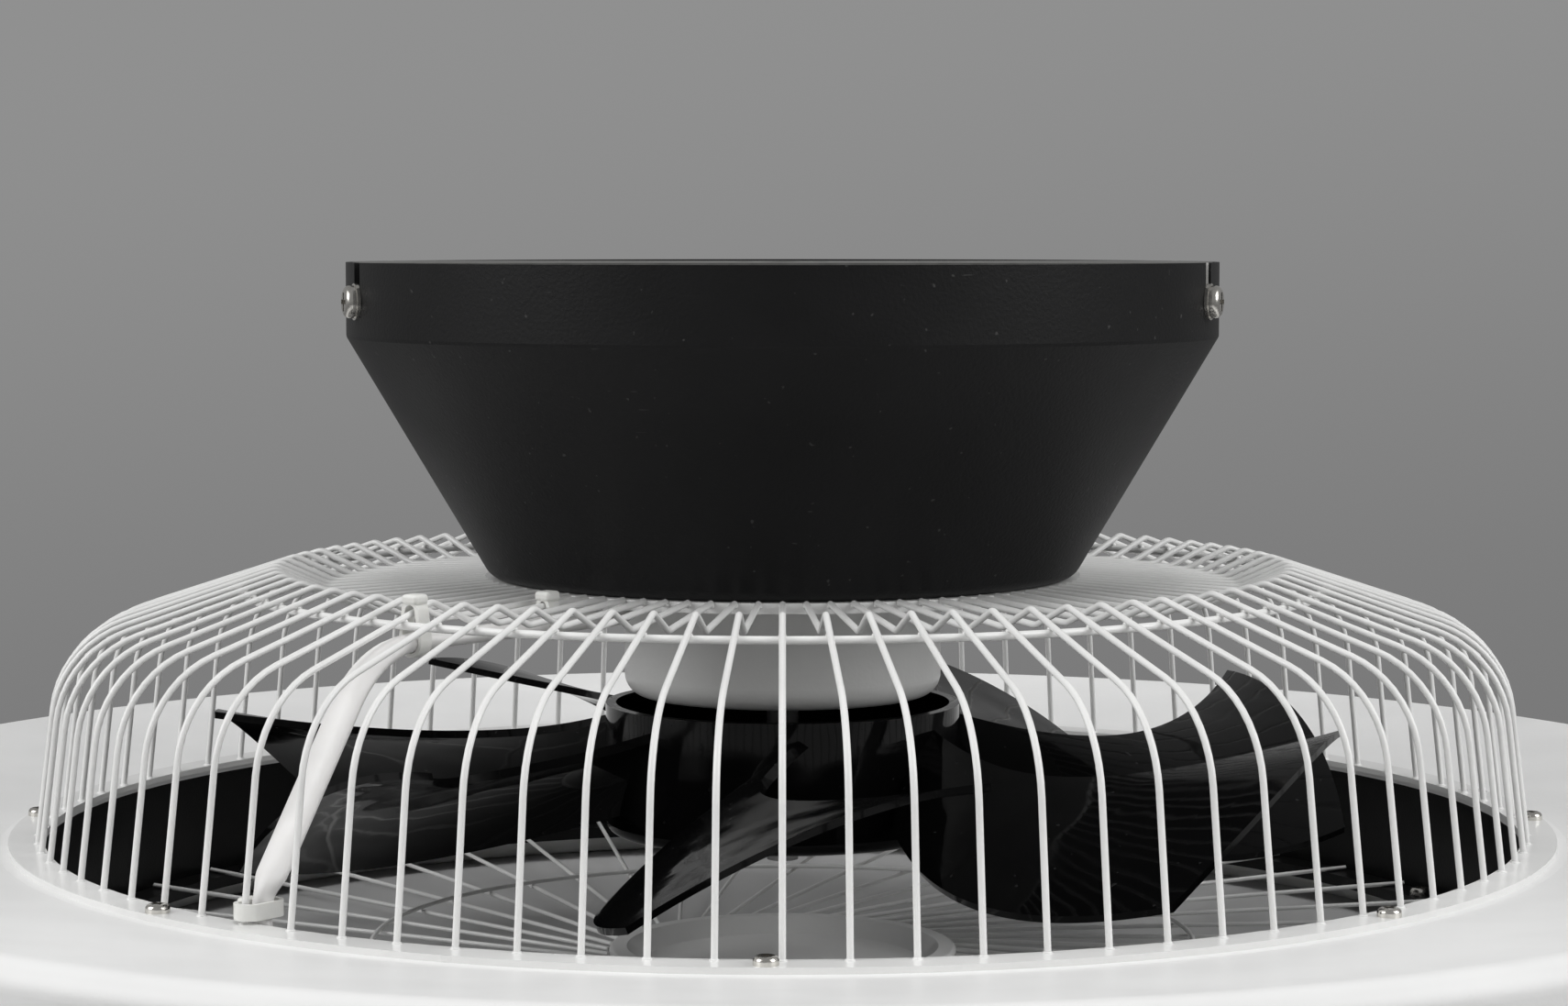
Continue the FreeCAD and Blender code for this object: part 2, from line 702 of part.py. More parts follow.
def make_control_box():
    """Hang the control box, its lid and its board under the bracket."""
    half = val("box_length") / 2
    wall = val("box_wall")
    near = val("box_offset") - val("box_depth") / 2
    far = val("box_offset") + val("box_depth") / 2
    shell = doc.addObject("Part::Box", "box_block")
    shell.setExpression("Length", bind("box_length"))
    shell.setExpression("Width", bind("box_depth"))
    shell.setExpression("Height", bind("box_height"))
    shell.setExpression("Placement.Base.x", bind("-box_length / 2"))
    shell.setExpression("Placement.Base.y", bind("box_offset - box_depth / 2"))
    shell.setExpression("Placement.Base.z", bind("box_bottom"))
    hollow = block((wall - half, half - wall), (near + wall, far - wall),
                   (val("box_bottom") - OVERCUT, val("box_top") - wall))
    drilled("control_box", shell, [hollow])
    lid = block((-half, half), (near, far), (val("lid_bottom"), val("box_bottom")))
    peg_x = half - wall - val("board_play") - 2 * val("peg_radius")
    peg_y = (far - near) / 2 - wall - val("board_play") - val("peg_radius")
    peg_top = val("box_bottom") + val("peg_height")
    for side_x in (-1, 1):
        for side_y in (-1, 1):
            place = (side_x * peg_x, val("box_offset") + side_y * peg_y)
            lid = lid.fuse(rod(val("peg_radius"), val("box_bottom"), peg_top, *place))
    group("control_lid", [lid.removeSplitter()])
    inset = wall + val("board_play")
    board_top = peg_top + val("board_thickness")
    board = block((inset - half, half - inset), (near + inset, far - inset), (peg_top, board_top))
    group("control_board", [board])
    size = val("board_part_size")
    parts = [rod(size / 2, board_top, board_top + size, -half / 2, val("box_offset"))]
    across = (val("box_offset") - size / 2, val("box_offset") + size / 2)
    for place in (0.0, half / 2):
        parts.append(block((place - size, place + size), across, (board_top, board_top + size)))
    group("board_parts", parts)


def make_terminal_block():
    """Put the supply terminals under the bracket on the side away from the control box."""
    half = val("terminal_length") / 2
    middle = -val("box_offset")
    depth = val("terminal_depth") / 2
    bottom = val("box_top") - val("terminal_height")
    shell = doc.addObject("Part::Box", "terminal_block_body")
    shell.setExpression("Length", bind("terminal_length"))
    shell.setExpression("Width", bind("terminal_depth"))
    shell.setExpression("Height", bind("terminal_height"))
    shell.setExpression("Placement.Base.x", bind("-terminal_length / 2"))
    shell.setExpression("Placement.Base.y", bind("-box_offset - terminal_depth / 2"))
    shell.setExpression("Placement.Base.z", bind("box_top - terminal_height"))
    ways = int(val("terminal_ways"))
    pitch = val("terminal_length") / ways
    level = bottom + val("terminal_height") / 2
    tools = []
    for number in range(ways):
        place = FreeCAD.Vector(-half + pitch * (number + 0.5), middle - depth - OVERCUT, level)
        tools.append(Part.makeCylinder(pitch / 4, 2 * (depth + OVERCUT), place, FreeCAD.Vector(0, 1, 0)))
    drilled("terminal_block", shell, tools)


# Wire cage and its flange
def wire_points():
    """Return the corners of one cage wire in its upright plane."""
    fall = math.tan(math.radians(val("roof_slope")))
    lean = math.tan(math.radians(val("wall_lean")))
    dip = val("wire_dia") / 2 * math.sin(math.radians(val("wall_lean")))
    foot = in_plane(val("wire_foot_radius"), val("flange_top") + val("weld_gap") + dip)
    crest = in_plane(val("crest_radius"), val("crest_height"))
    drop = crest.z - foot.z - fall * (foot.x - crest.x)
    shoulder_height = foot.z + drop / (1 - fall * lean)
    shoulder = in_plane(foot.x - lean * (shoulder_height - foot.z), shoulder_height)
    return [in_plane(val("wire_start"), val("wire_floor")),
            in_plane(val("valley_radius"), val("valley_height")),
            crest,
            shoulder,
            foot]


def make_cage():
    """Make the cage: centre plate, bent wires, hoop and flange."""
    plate = washer_ring("cage_plate", "passage_radius", "plate_radius", "plate_bottom", "plate_top")
    span = (val("plate_bottom") - OVERCUT, val("plate_top") + OVERCUT)
    screw_hole = rod(val("canopy_screw_hole"), *span, val("motor_screw_circle"))
    tools = around(screw_hole, motor_angles())
    tools += around(rod(val("bush_radius"), *span, val("lead_start_radius")), [lead_angle()])
    drilled("cage_plate", plate, tools)
    bends = [val("valley_bend"), val("crest_bend"), val("shoulder_bend")]
    wire = bent_rod(wire_points(), bends, val("wire_dia"))
    group("cage_wires", around(wire, evenly(val("wire_count"), -90)))
    slope = math.radians(val("roof_slope"))
    reach = (val("wire_dia") + val("hoop_dia")) / 2 + val("weld_gap")
    hoop_height = wire_height_at(val("hoop_radius")) - reach / math.cos(slope)
    wire_hoop("cage_hoop", "hoop_radius", "hoop_dia", hoop_height)
    flange = washer_ring("cage_flange", "flange_inner", "flange_outer", "flange_bottom", "flange_top")
    hole = rod(val("small_screw_hole"), val("flange_bottom") - OVERCUT, val("flange_top") + OVERCUT,
               val("flange_screw_circle"))
    drilled("cage_flange", flange, around(hole, flange_angles()))


def make_flange_screws():
    """Bolt the flange, the lamp pan and the duct together."""
    grip = val("flange_top") - val("duct_flange_bottom")
    length = grip + val("nut_height") + val("screw_play")
    screw = pan_screw(val("small_screw_dia"), val("small_head_dia"), val("small_head_height"), length)
    screw.translate(FreeCAD.Vector(val("flange_screw_circle"), 0, val("flange_top")))
    group("flange_screws", around(screw, flange_angles()))
    top = val("duct_flange_bottom")
    nut = hex_nut(val("nut_flats"), val("small_screw_hole"), top - val("nut_height"), top,
                  val("flange_screw_circle"))
    group("flange_nuts", around(nut, flange_angles()))


# Motor
def make_motor_housing():
    """Turn the white motor bowl with its stator sleeve and lower bearing seat, and add the screw bosses."""
    bowl = turned("motor_housing", [
        ("motor_radius", "motor_top"),
        ("motor_radius", "motor_bottom"),
        ("lip_radius", "motor_bottom"),
        ("lip_radius", "lower_seat"),
        ("bearing_radius", "lower_seat"),
        ("bearing_radius", "lower_top"),
        ("bearing_boss", "lower_top"),
        ("bearing_boss", "motor_floor"),
        ("sleeve_radius", "motor_floor"),
        ("sleeve_radius", "sleeve_top"),
        ("sleeve_radius + sleeve_wall", "sleeve_top"),
        ("sleeve_radius + sleeve_wall", "motor_floor"),
        ("motor_inside", "motor_floor"),
        ("motor_inside", "motor_top"),
    ], {1: "motor_round", 12: "motor_round - motor_wall"})
    boss = rod(val("motor_boss_radius"), val("motor_top") - val("motor_boss_depth"), val("motor_top"),
               val("motor_screw_circle"))
    whole = doc.addObject("Part::Fuse", "motor_housing_whole")
    whole.Base = bowl
    whole.Tool = helper("motor_bosses", Part.makeCompound(around(boss, motor_angles())))
    doc.recompute()
    depth = val("canopy_wall") + val("plate_thickness")
    bottom = val("motor_top") - (val("motor_screw_length") - depth) - val("screw_tip_gap")
    hole = rod(val("canopy_screw_hole"), bottom, val("motor_top") + OVERCUT, val("motor_screw_circle"))
    drilled("motor_housing", whole, around(hole, motor_angles()))
    screw = pan_screw(val("canopy_screw_dia"), val("canopy_head_dia"), val("canopy_head_height"),
                      val("motor_screw_length"))
    screw.translate(FreeCAD.Vector(val("motor_screw_circle"), 0, val("canopy_floor")))
    group("motor_screws", around(screw, motor_angles()))


def make_bearings():
    """Make the upper end shield and the two sealed bearings."""
    shield = turned("end_shield", [
        ("lip_radius", "upper_lip"),
        ("sleeve_radius + sleeve_wall", "upper_lip"),
        ("sleeve_radius + sleeve_wall", "shield_top"),
        ("bearing_boss", "shield_top"),
        ("bearing_boss", "upper_top"),
        ("bearing_radius", "upper_top"),
        ("bearing_radius", "upper_seat"),
        ("lip_radius", "upper_seat"),
    ])
    circle = val("sleeve_radius") - val("small_head_dia") / 2
    hole = rod(val("small_screw_hole"), val("upper_lip") - OVERCUT, val("shield_top") + OVERCUT, circle)
    drilled("end_shield", shield, around(hole, evenly(val("shield_screw_count"))))
    screw = pan_screw(val("small_screw_dia"), val("small_head_dia"), val("small_head_height"),
                      val("shield_thickness") - val("screw_play"))
    screw.translate(FreeCAD.Vector(circle, 0, val("shield_top")))
    group("shield_screws", around(screw, evenly(val("shield_screw_count"))))
    for label, bottom, top in (("upper_bearing", "upper_seat", "upper_top"),
                               ("lower_bearing", "lower_seat", "lower_top")):
        piece(label, washer_ring(label, "bearing_bore", "bearing_radius", bottom, top))


def make_stator():
    """Make the toothed stator core in the sleeve and one coil on each tooth."""
    low = val("core_bottom")
    high = val("core_top")
    outer = val("sleeve_radius")
    yoke_inner = outer - val("yoke_width")
    tip = val("core_radius") + val("air_gap")
    half = val("tooth_width") / 2
    gap = val("coil_gap")
    teeth = around(block((tip, yoke_inner + gap), (-half, half), (low, high)), evenly(val("tooth_count")))
    ring = rod(outer, low, high).cut(rod(yoke_inner, low - OVERCUT, high + OVERCUT))
    core = ring.multiFuse(teeth).cut(rod(tip, low - OVERCUT, high + OVERCUT)).removeSplitter()
    group("stator_core", [core])
    wide = half + gap + val("coil_width")
    near = tip + val("coil_width")
    far = yoke_inner * math.cos(math.asin(wide / yoke_inner)) - gap
    full = block((near, far), (-wide, wide), (low - gap - val("coil_width"), high + gap + val("coil_width")))
    hole = block((near - OVERCUT, far + OVERCUT), (-half - gap, half + gap), (low - gap, high + gap))
    group("stator_coils", around(full.cut(hole), evenly(val("tooth_count"))))


def make_rotor_core():
    """Make the shaft, its clip, the laminated core and the magnets let into the core."""
    shaft = turned("motor_shaft", [
        ("0", "shaft_bottom"),
        ("shaft_radius", "shaft_bottom"),
        ("shaft_radius", "clip_bottom"),
        ("groove_radius", "clip_bottom"),
        ("groove_radius", "clip_top"),
        ("shaft_radius", "clip_top"),
        ("shaft_radius", "shaft_top"),
        ("0", "shaft_top"),
    ])
    piece("motor_shaft", shaft)
    piece("shaft_clip", washer_ring("shaft_clip", "groove_radius", "clip_dia / 2", "clip_bottom", "clip_top"))
    core = washer_ring("rotor_core", "shaft_radius", "core_radius", "core_bottom", "core_top")
    low = val("core_bottom")
    high = val("core_top")
    inner = val("core_radius") - val("magnet_thickness")
    outer = val("core_radius")
    span = val("magnet_span")
    sector = Part.makeCylinder(outer, high - low, FreeCAD.Vector(0, 0, low), UP, span)
    magnet = sector.cut(rod(inner, low - OVERCUT, high + OVERCUT))
    magnets = around(magnet, evenly(val("magnet_count")))
    drilled("rotor_core", core, magnets)
    group("rotor_magnets", magnets)


# Rotor hub and blades
def make_hub():
    """Turn the hub's cup and the washer and nut that hold it on the shaft."""
    hub = turned("rotor_hub", [
        ("hub_radius", "hub_top"),
        ("hub_radius", "hub_bottom"),
        ("shaft_radius", "hub_bottom"),
        ("shaft_radius", "hub_boss_top"),
        ("hub_boss_radius", "hub_boss_top"),
        ("hub_boss_radius", "hub_deck"),
        ("hub_inside", "hub_deck"),
        ("hub_inside", "hub_top"),
    ], {1: "hub_round", 6: "hub_wall"})
    piece("rotor_hub", hub)
    piece("hub_washer", washer_ring("hub_washer", "shaft_radius", "hub_washer_dia / 2", "hub_washer_bottom",
                                    "hub_bottom"))
    nut = hex_nut(val("hub_nut_flats"), val("shaft_radius"), val("hub_nut_bottom"), val("hub_washer_bottom"))
    group("hub_nut", [nut])


def two_sided(x, turn, near, near_rise, far, far_rise):
    """Return a smooth curve that is flat at turn and rises by the given amounts at near and far."""
    if x < turn:
        return near_rise * ((turn - x) / (turn - near)) ** 2
    return far_rise * ((x - turn) / (far - turn)) ** 2


def blade_edges(x):
    """Return the front and back edge of a blade where it crosses the upright plane at x."""
    root = val("hub_radius")
    tip = val("front_tip_reach")
    rim = val("hub_top")
    front_y = two_sided(x, val("front_waist_radius"), root, val("front_root_sweep"),
                        tip, val("front_tip_sweep"))
    dip = val("front_dip_drop")
    front_z = rim - dip + two_sided(x, val("front_dip_radius"), root, dip - val("front_root_drop"),
                                    tip, dip - val("front_tip_drop"))
    share = ((x - val("back_belly_radius")) / (val("back_belly_radius") - root)) ** 2
    back_y = -val("back_belly") + share * (val("back_belly") - val("back_root_sweep"))
    back_z = rim - val("back_low_drop") + share * (val("back_low_drop") - val("back_root_drop"))
    return FreeCAD.Vector(x, front_y, front_z), FreeCAD.Vector(x, back_y, back_z)


def blade_section(x):
    """Return the closed outline of a blade's cambered section in the upright plane at x."""
    front, back = blade_edges(x)
    chord = back - front
    lift = FreeCAD.Vector(0, -chord.z, chord.y).normalize()
    if lift.z < 0:
        lift = -lift
    share = (x - val("hub_radius")) / (val("blade_radius") - val("hub_radius"))
    thick = val("blade_root_thickness") + share * (val("blade_tip_thickness") - val("blade_root_thickness"))
    middle = (front + back) * 0.5 + lift * (val("blade_camber") * chord.Length)
    skin = lift * (thick / 2)
    upper = Part.Arc(front + skin, middle + skin, back + skin)
    lower = Part.Arc(back - skin, middle - skin, front - skin)
    return Part.Wire([upper.toShape(),
                      Part.LineSegment(back + skin, back - skin).toShape(),
                      lower.toShape(),
                      Part.LineSegment(front - skin, front + skin).toShape()])


def make_blades():
    """Loft one blade, trim it to the hub and the tip circle, and set the copies round the hub."""
    count = 9
    first = val("hub_radius") - 2 * val("hub_wall")
    last = val("blade_radius") + val("blade_root_thickness")
    sections = [blade_section(first + (last - first) * number / (count - 1)) for number in range(count)]
    loft = Part.makeLoft(sections, True, False)
    low = val("hub_bottom") - val("hub_height")
    high = val("hub_top") + val("hub_height")
    blade = loft.common(rod(val("blade_radius"), low, high)).cut(rod(val("hub_radius"), low, high))
    if len(blade.Solids) != 1:
        raise ValueError("the trimmed blade is not one solid")
    for number, angle in enumerate(evenly(val("blade_count"), val("blade_turn")), start=1):
        label = "blade_%d" % number
        copy = group(label, [blade.Solids[0]])
        copy.Placement = FreeCAD.Placement(ORIGIN, FreeCAD.Rotation(UP, angle))


# Lamp body and light source
def make_lamp():
    """Turn the lamp's upper pan, the black duct through it and the opal diffuser below."""
    pan = turned("lamp_pan", [
        ("pan_inner", "flange_bottom"),
        ("pan_seat_outer", "flange_bottom"),
        ("lamp_radius - pan_shoulder", "lamp_top"),
        ("lamp_radius", "lamp_top"),
        ("lamp_radius", "lamp_rim"),
        ("pan_lip_inner", "lamp_rim"),
        ("pan_lip_inner", "diffuser_seat"),
        ("lamp_inside", "diffuser_seat"),
        ("lamp_inside", "lamp_top - pan_sheet"),
        ("lamp_radius - pan_shoulder", "lamp_top - pan_sheet"),
        ("pan_seat_outer", "pan_bottom"),
        ("pan_inner", "pan_bottom"),
    ], {3: "pan_round", 8: "pan_round - pan_sheet"})
    hole = rod(val("small_screw_hole"), val("duct_bottom"), val("flange_top"),
               val("flange_screw_circle"))
    holes = around(hole, flange_angles())
    drilled("lamp_pan", pan, holes)
    duct = turned("duct_ring", [
        ("duct_inner", "pan_bottom"),
        ("pan_seat_outer", "pan_bottom"),
        ("pan_seat_outer", "duct_flange_bottom"),
        ("duct_outer", "duct_flange_bottom"),
        ("duct_outer", "duct_bottom"),
        ("duct_lip_inner", "duct_bottom"),
        ("duct_lip_inner", "duct_lip_top"),
        ("duct_inner", "duct_lip_top"),
    ])
    lip_hole = rod(val("small_screw_hole"), val("duct_bottom") - OVERCUT, val("duct_lip_top") + OVERCUT,
                   grille_screw_radius())
    tools = holes + around(lip_hole, grille_angles())
    foot, end = lead_points()[4:]
    along = (end - foot).normalize()
    gland_hole = Part.makeCylinder(val("bush_radius"), val("lead_tail"), foot, along)
    tools += around(gland_hole, [lead_angle()])
    drilled("duct_ring", duct, tools)
    diffuser = turned("diffuser", [
        ("lamp_inside - diffuser_play", "diffuser_seat"),
        ("lamp_inside - diffuser_play", "diffuser_seat + diffuser_wall"),
        ("diffuser_outer - diffuser_wall", "diffuser_seat + diffuser_wall"),
        ("diffuser_outer - diffuser_wall", "diffuser_bottom + diffuser_wall"),
        ("diffuser_inner + diffuser_wall", "diffuser_bottom + diffuser_wall"),
        ("diffuser_inner + diffuser_wall", "duct_bottom"),
        ("diffuser_inner", "duct_bottom"),
        ("diffuser_inner", "diffuser_bottom"),
        ("diffuser_outer", "diffuser_bottom"),
        ("diffuser_outer", "diffuser_seat"),
    ], {8: "diffuser_round", 3: "diffuser_round - diffuser_wall", 7: "diffuser_round - diffuser_wall"})
    piece("diffuser", diffuser)


def pan_under_at(radius):
    """Return the height of the lamp pan's underside on its sloping top."""
    inner = val("pan_seat_outer")
    outer = val("lamp_radius") - val("pan_shoulder")
    return val("pan_bottom") + val("pan_rise") * (radius - inner) / (outer - inner)


def make_light():
    """Hang the light board with its chips on posts under the pan."""
    circle = val("post_circle")
    angles = evenly(val("post_count"), 180.0 / val("post_count"))
    bore = val("small_screw_hole")
    top = pan_under_at(circle - val("post_radius")) - val("weld_gap")
    blind = val("led_top") + val("post_screw_length")
    post = rod(val("post_radius"), val("led_top"), top, circle)
    post_hole = rod(bore, val("led_top") - OVERCUT, blind, circle)
    group("board_posts", around(post.cut(post_hole), angles))
    board = washer_ring("led_board", "led_inner", "led_outer", "led_bottom", "led_top")
    hole = rod(bore, val("led_bottom") - OVERCUT, val("led_top") + OVERCUT, circle)
    drilled("led_board", board, around(hole, angles))
    length = val("led_thickness") + val("post_screw_length") - val("screw_tip_gap")
    screw = pan_screw(val("small_screw_dia"), val("small_head_dia"), val("small_head_height"), length)
    screw.rotate(ORIGIN, FreeCAD.Vector(1, 0, 0), 180)
    screw.translate(FreeCAD.Vector(circle, 0, val("led_bottom")))
    group("board_screws", around(screw, angles))
    chips = []
    half_long = val("led_length") / 2
    half_wide = val("led_width") / 2
    span = (val("led_bottom") - val("led_height"), val("led_bottom"))
    for radius in (val("led_inner") + val("led_row_inset"), val("led_outer") - val("led_row_inset")):
        chip = block((radius - half_wide, radius + half_wide), (-half_long, half_long), span)
        chips += around(chip, evenly(val("led_count")))
    group("led_chips", chips)


# Grille under the rotor
def swept_reach(radius, offset):
    """Return how far along X a line at this offset from the axis meets the radius."""
    return math.sqrt(radius * radius - offset * offset)


def grille_screw_radius():
    """Return the radius of the circle that the grille's screws stand on."""
    return (val("duct_lip_inner") + val("duct_inner")) / 2


def grille_angles():
    """Return the directions of the grille's screws, between its wires."""
    lag = math.degrees(math.asin(val("grille_wire_offset") / grille_screw_radius()))
    first = val("grille_wire_turn") + lag + 180.0 / val("grille_wire_count")
    return evenly(val("grille_screw_count"), first)


def grille_wire_ends():
    """Return the inner and outer end of one grille wire, which passes beside the axis."""
    offset = val("grille_wire_offset")
    half = val("grille_wire_dia") / 2
    rest = val("grille_ring_top") + half + val("weld_gap")
    inner = swept_reach(val("cap_radius"), offset - half) + val("weld_gap")
    inner_height = val("cap_top") - val("cap_rim_height") / 2
    edge = swept_reach(val("duct_lip_inner"), offset)
    outer = swept_reach(val("grille_ring_outer") - val("foot_inset"), offset)
    slope = (rest - inner_height) / (edge - inner)
    return (FreeCAD.Vector(inner, offset, inner_height),
            FreeCAD.Vector(outer, offset, rest + slope * (outer - edge)))


def make_grille():
    """Make the grille: rim, swept straight wires, hoop, dished centre cap and screws."""
    rim = washer_ring("grille_ring", "duct_lip_inner", "grille_ring_outer", "duct_lip_top", "grille_ring_top")
    middle = grille_screw_radius()
    bore = val("small_screw_hole")
    hole = rod(bore, val("duct_lip_top") - OVERCUT, val("grille_ring_top") + OVERCUT, middle)
    drilled("grille_ring", rim, around(hole, grille_angles()))
    length = val("grille_ring_thickness") + val("duct_lip_thickness")
    screw = pan_screw(val("small_screw_dia"), val("small_head_dia"), val("small_head_height"), length)
    screw.translate(FreeCAD.Vector(middle, 0, val("grille_ring_top")))
    group("grille_screws", around(screw, grille_angles()))
    inner, outer = grille_wire_ends()
    run = outer - inner
    wire = Part.makeCylinder(val("grille_wire_dia") / 2, run.Length, inner, run)
    group("grille_wires", around(wire, evenly(val("grille_wire_count"), val("grille_wire_turn"))))
    slope = math.atan2(run.z, run.x)
    hoop_reach = swept_reach(val("grille_hoop_radius"), val("grille_wire_offset"))
    at_hoop = inner.z + math.tan(slope) * (hoop_reach - inner.x)
    reach = (val("grille_wire_dia") + val("grille_hoop_dia")) / 2 + val("weld_gap")
    wire_hoop("grille_hoop", "grille_hoop_radius", "grille_hoop_dia", at_hoop + reach / math.cos(slope))
    cap = turned("grille_cap", [
        ("cap_radius", "cap_top"),
        ("cap_radius", "cap_top - cap_rim_height"),
        ("cap_radius - cap_rim_width", "cap_top - cap_rim_height - cap_dish"),
        ("0", "cap_top - cap_rim_height - cap_dish"),
        ("0", "cap_top - cap_rim_height - cap_dish + cap_sheet"),
        ("cap_radius - 2 * cap_rim_width", "cap_top - cap_rim_height - cap_dish + cap_sheet"),
        ("cap_radius - cap_rim_width", "cap_top"),
    ], {0: "cap_round", 1: "cap_round"})
    piece("grille_cap", cap)


# Lamp lead with its ties and bushes
def loop_face(near, near_reach, far, far_reach, level):
    """Return the flat face round two circles on the X axis, joined by their outer tangents."""
    tilt = math.asin((near_reach - far_reach) / (far - near))
    corners = []
    for middle, reach in ((near, near_reach), (far, far_reach)):
        for side in (1, -1):
            across = side * reach * math.cos(tilt)
            corners.append(FreeCAD.Vector(middle + reach * math.sin(tilt), across, level))
    near_left, near_right, far_left, far_right = corners
    edges = [Part.LineSegment(near_left, far_left),
             Part.Arc(far_left, FreeCAD.Vector(far + far_reach, 0, level), far_right),
             Part.LineSegment(far_right, near_right),
             Part.Arc(near_right, FreeCAD.Vector(near - near_reach, 0, level), near_left)]
    return Part.Face(Part.Wire([edge.toShape() for edge in edges]))


def tie(near, near_reach, far, far_reach, level, head_at_end):
    """Return a cable tie as a flat strap round a lead and a wire that both cross the X axis.

    near and far are the middles of the lead's and the wire's room, the reaches their radii, and level is the
    height of the strap's middle. The head sits at the wire's end of the strap or on its right side.
    """
    thick = val("tie_thickness")
    bottom = level - val("tie_width") / 2
    height = FreeCAD.Vector(0, 0, val("tie_width"))
    room = loop_face(near, near_reach, far, far_reach, bottom).extrude(height)
    strap = loop_face(near, near_reach + thick, far, far_reach + thick, bottom).extrude(height)
    half = val("tie_head") / 2
    stand = val("tie_head_height")
    if head_at_end:
        along = (far + far_reach, far + far_reach + stand)
        across = (-half, half)
    else:
        middle = (near + far) / 2
        side = -(near_reach + far_reach) / 2
        along = (middle - half, middle + half)
        across = (side - stand, side)
    head = block(along, across, (level - half, level + half))
    return strap.fuse(head.makeFillet(val("tie_round"), head.Edges)).cut(room).removeSplitter()


def make_lead():
    """Sweep the lead along its route and add its ties, grommet and gland."""
    points = lead_points()
    bends = [val("lead_first_bend"), val("lead_turn_bend"), val("lead_knee_bend"), val("lead_foot_bend")]
    print("lead bend radii in mm:", bends)
    turn = [lead_angle()]
    group("lamp_lead", around(bent_rod(points, bends, val("lead_dia")), turn))
    lead = val("lead_dia") / 2
    play = val("tie_play")
    half_wire = val("wire_dia") / 2
    ties = []
    strap_half = val("tie_width") / 2
    roof = math.cos(math.radians(val("roof_slope")))
    inner_tie = val("tie_inner_radius")
    outer_tie = val("tie_outer_radius")
    wire_spans = ((inner_tie, wire_floor_at(inner_tie + strap_half) - half_wire,
                   wire_floor_at(inner_tie - strap_half) + half_wire),
                  (outer_tie, wire_height_at(outer_tie + strap_half) - half_wire / roof,
                   wire_height_at(outer_tie - strap_half) + half_wire / roof))
    for radius, wire_low, wire_high in wire_spans:
        lead_low = lead_under_at(radius + strap_half)
        lead_high = points[2].z + lead
        strap = tie((lead_low + lead_high) / 2, (lead_high - lead_low) / 2 + play,
                    (wire_low + wire_high) / 2, (wire_high - wire_low) / 2 + play, 0, True)
        strap.rotate(ORIGIN, FreeCAD.Vector(0, 1, 0), -90)
        strap.translate(FreeCAD.Vector(radius, 0, 0))
        ties.append(strap)
    level = val("flange_top") + val("tie_foot_rise")
    knee, foot, end = points[3:]
    run = knee - points[2]
    lead_middle = knee.x + (foot.x - knee.x) * (knee.z - level) / (knee.z - foot.z)
    spread = lead * run.Length / abs(run.z) + strap_half * run.x / abs(run.z) + play
    reach = lead + play
    wire_side = wire_radius_at(level) + half_wire + 2 * play
    ties.append(tie(lead_middle - spread + reach, reach, wire_side - reach, reach, level, False))
    group("lead_ties", [around(strap, turn)[0] for strap in ties])
    inner = lead + val("bush_play")
    outer = val("bush_radius")
    collar = val("bush_collar")
    start = val("lead_start_radius")
    body = rod(outer - val("bush_play"), val("plate_top"), val("canopy_floor"), start)
    flange = rod(outer + collar, val("canopy_floor"), val("canopy_floor") + collar, start)
    passage = rod(inner, val("plate_top") - OVERCUT, val("canopy_floor") + collar + OVERCUT, start)
    group("lead_grommet", around(body.fuse(flange).cut(passage).removeSplitter(), turn))
    along = (end - foot).normalize()
    wall_start = foot + along * ((val("duct_outer") - foot.x + collar + val("weld_gap")) / along.x)
    inward = collar + val("weld_gap") + val("duct_wall")
    sleeve = Part.makeCylinder(outer - val("bush_play"), inward + collar, wall_start - along * inward, along)
    ring = Part.makeCylinder(outer + collar, collar, wall_start, along)
    bore = Part.makeCylinder(inner, val("lead_tail"), wall_start - along * (inward + OVERCUT), along)
    group("lead_gland", around(sleeve.fuse(ring).cut(bore).removeSplitter(), turn))


def export():
    """Check every object of the document, then write one file for each sub-part."""
    doc.recompute()
    for thing in doc.Objects:
        if "Invalid" in thing.State or "Error" in thing.State:
            raise ValueError("%s is %s" % (thing.Label, thing.State))
    for thing in pieces:
        shape = thing.Shape
        if shape.isNull() or not shape.isValid() or not shape.Solids:
            raise ValueError("%s has no valid solid" % thing.Label)
    os.makedirs("parts", exist_ok=True)
    for thing in pieces:
        thing.Shape.exportStep("parts/%s.step" % thing.Label)
    print(len(pieces), "sub-parts,", sum(len(thing.Shape.Solids) for thing in pieces), "solids")


fill_sheet()
make_bracket()
make_canopy()
make_canopy_screws()
make_control_box()
make_terminal_block()
make_cage()
make_flange_screws()
make_motor_housing()
make_bearings()
make_stator()
make_rotor_core()
make_hub()
make_blades()
make_lamp()
make_light()
make_grille()
make_lead()
export()
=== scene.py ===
"""Finishes, soft detail, stage and camera for a caged ceiling fan with a lamp ring."""

import json
import logging
import math
from dataclasses import dataclass
from enum import Enum
from typing import Any, Dict, Iterable, List, Sequence, Tuple, Union

import bmesh
import bpy
from mathutils import Matrix, Vector


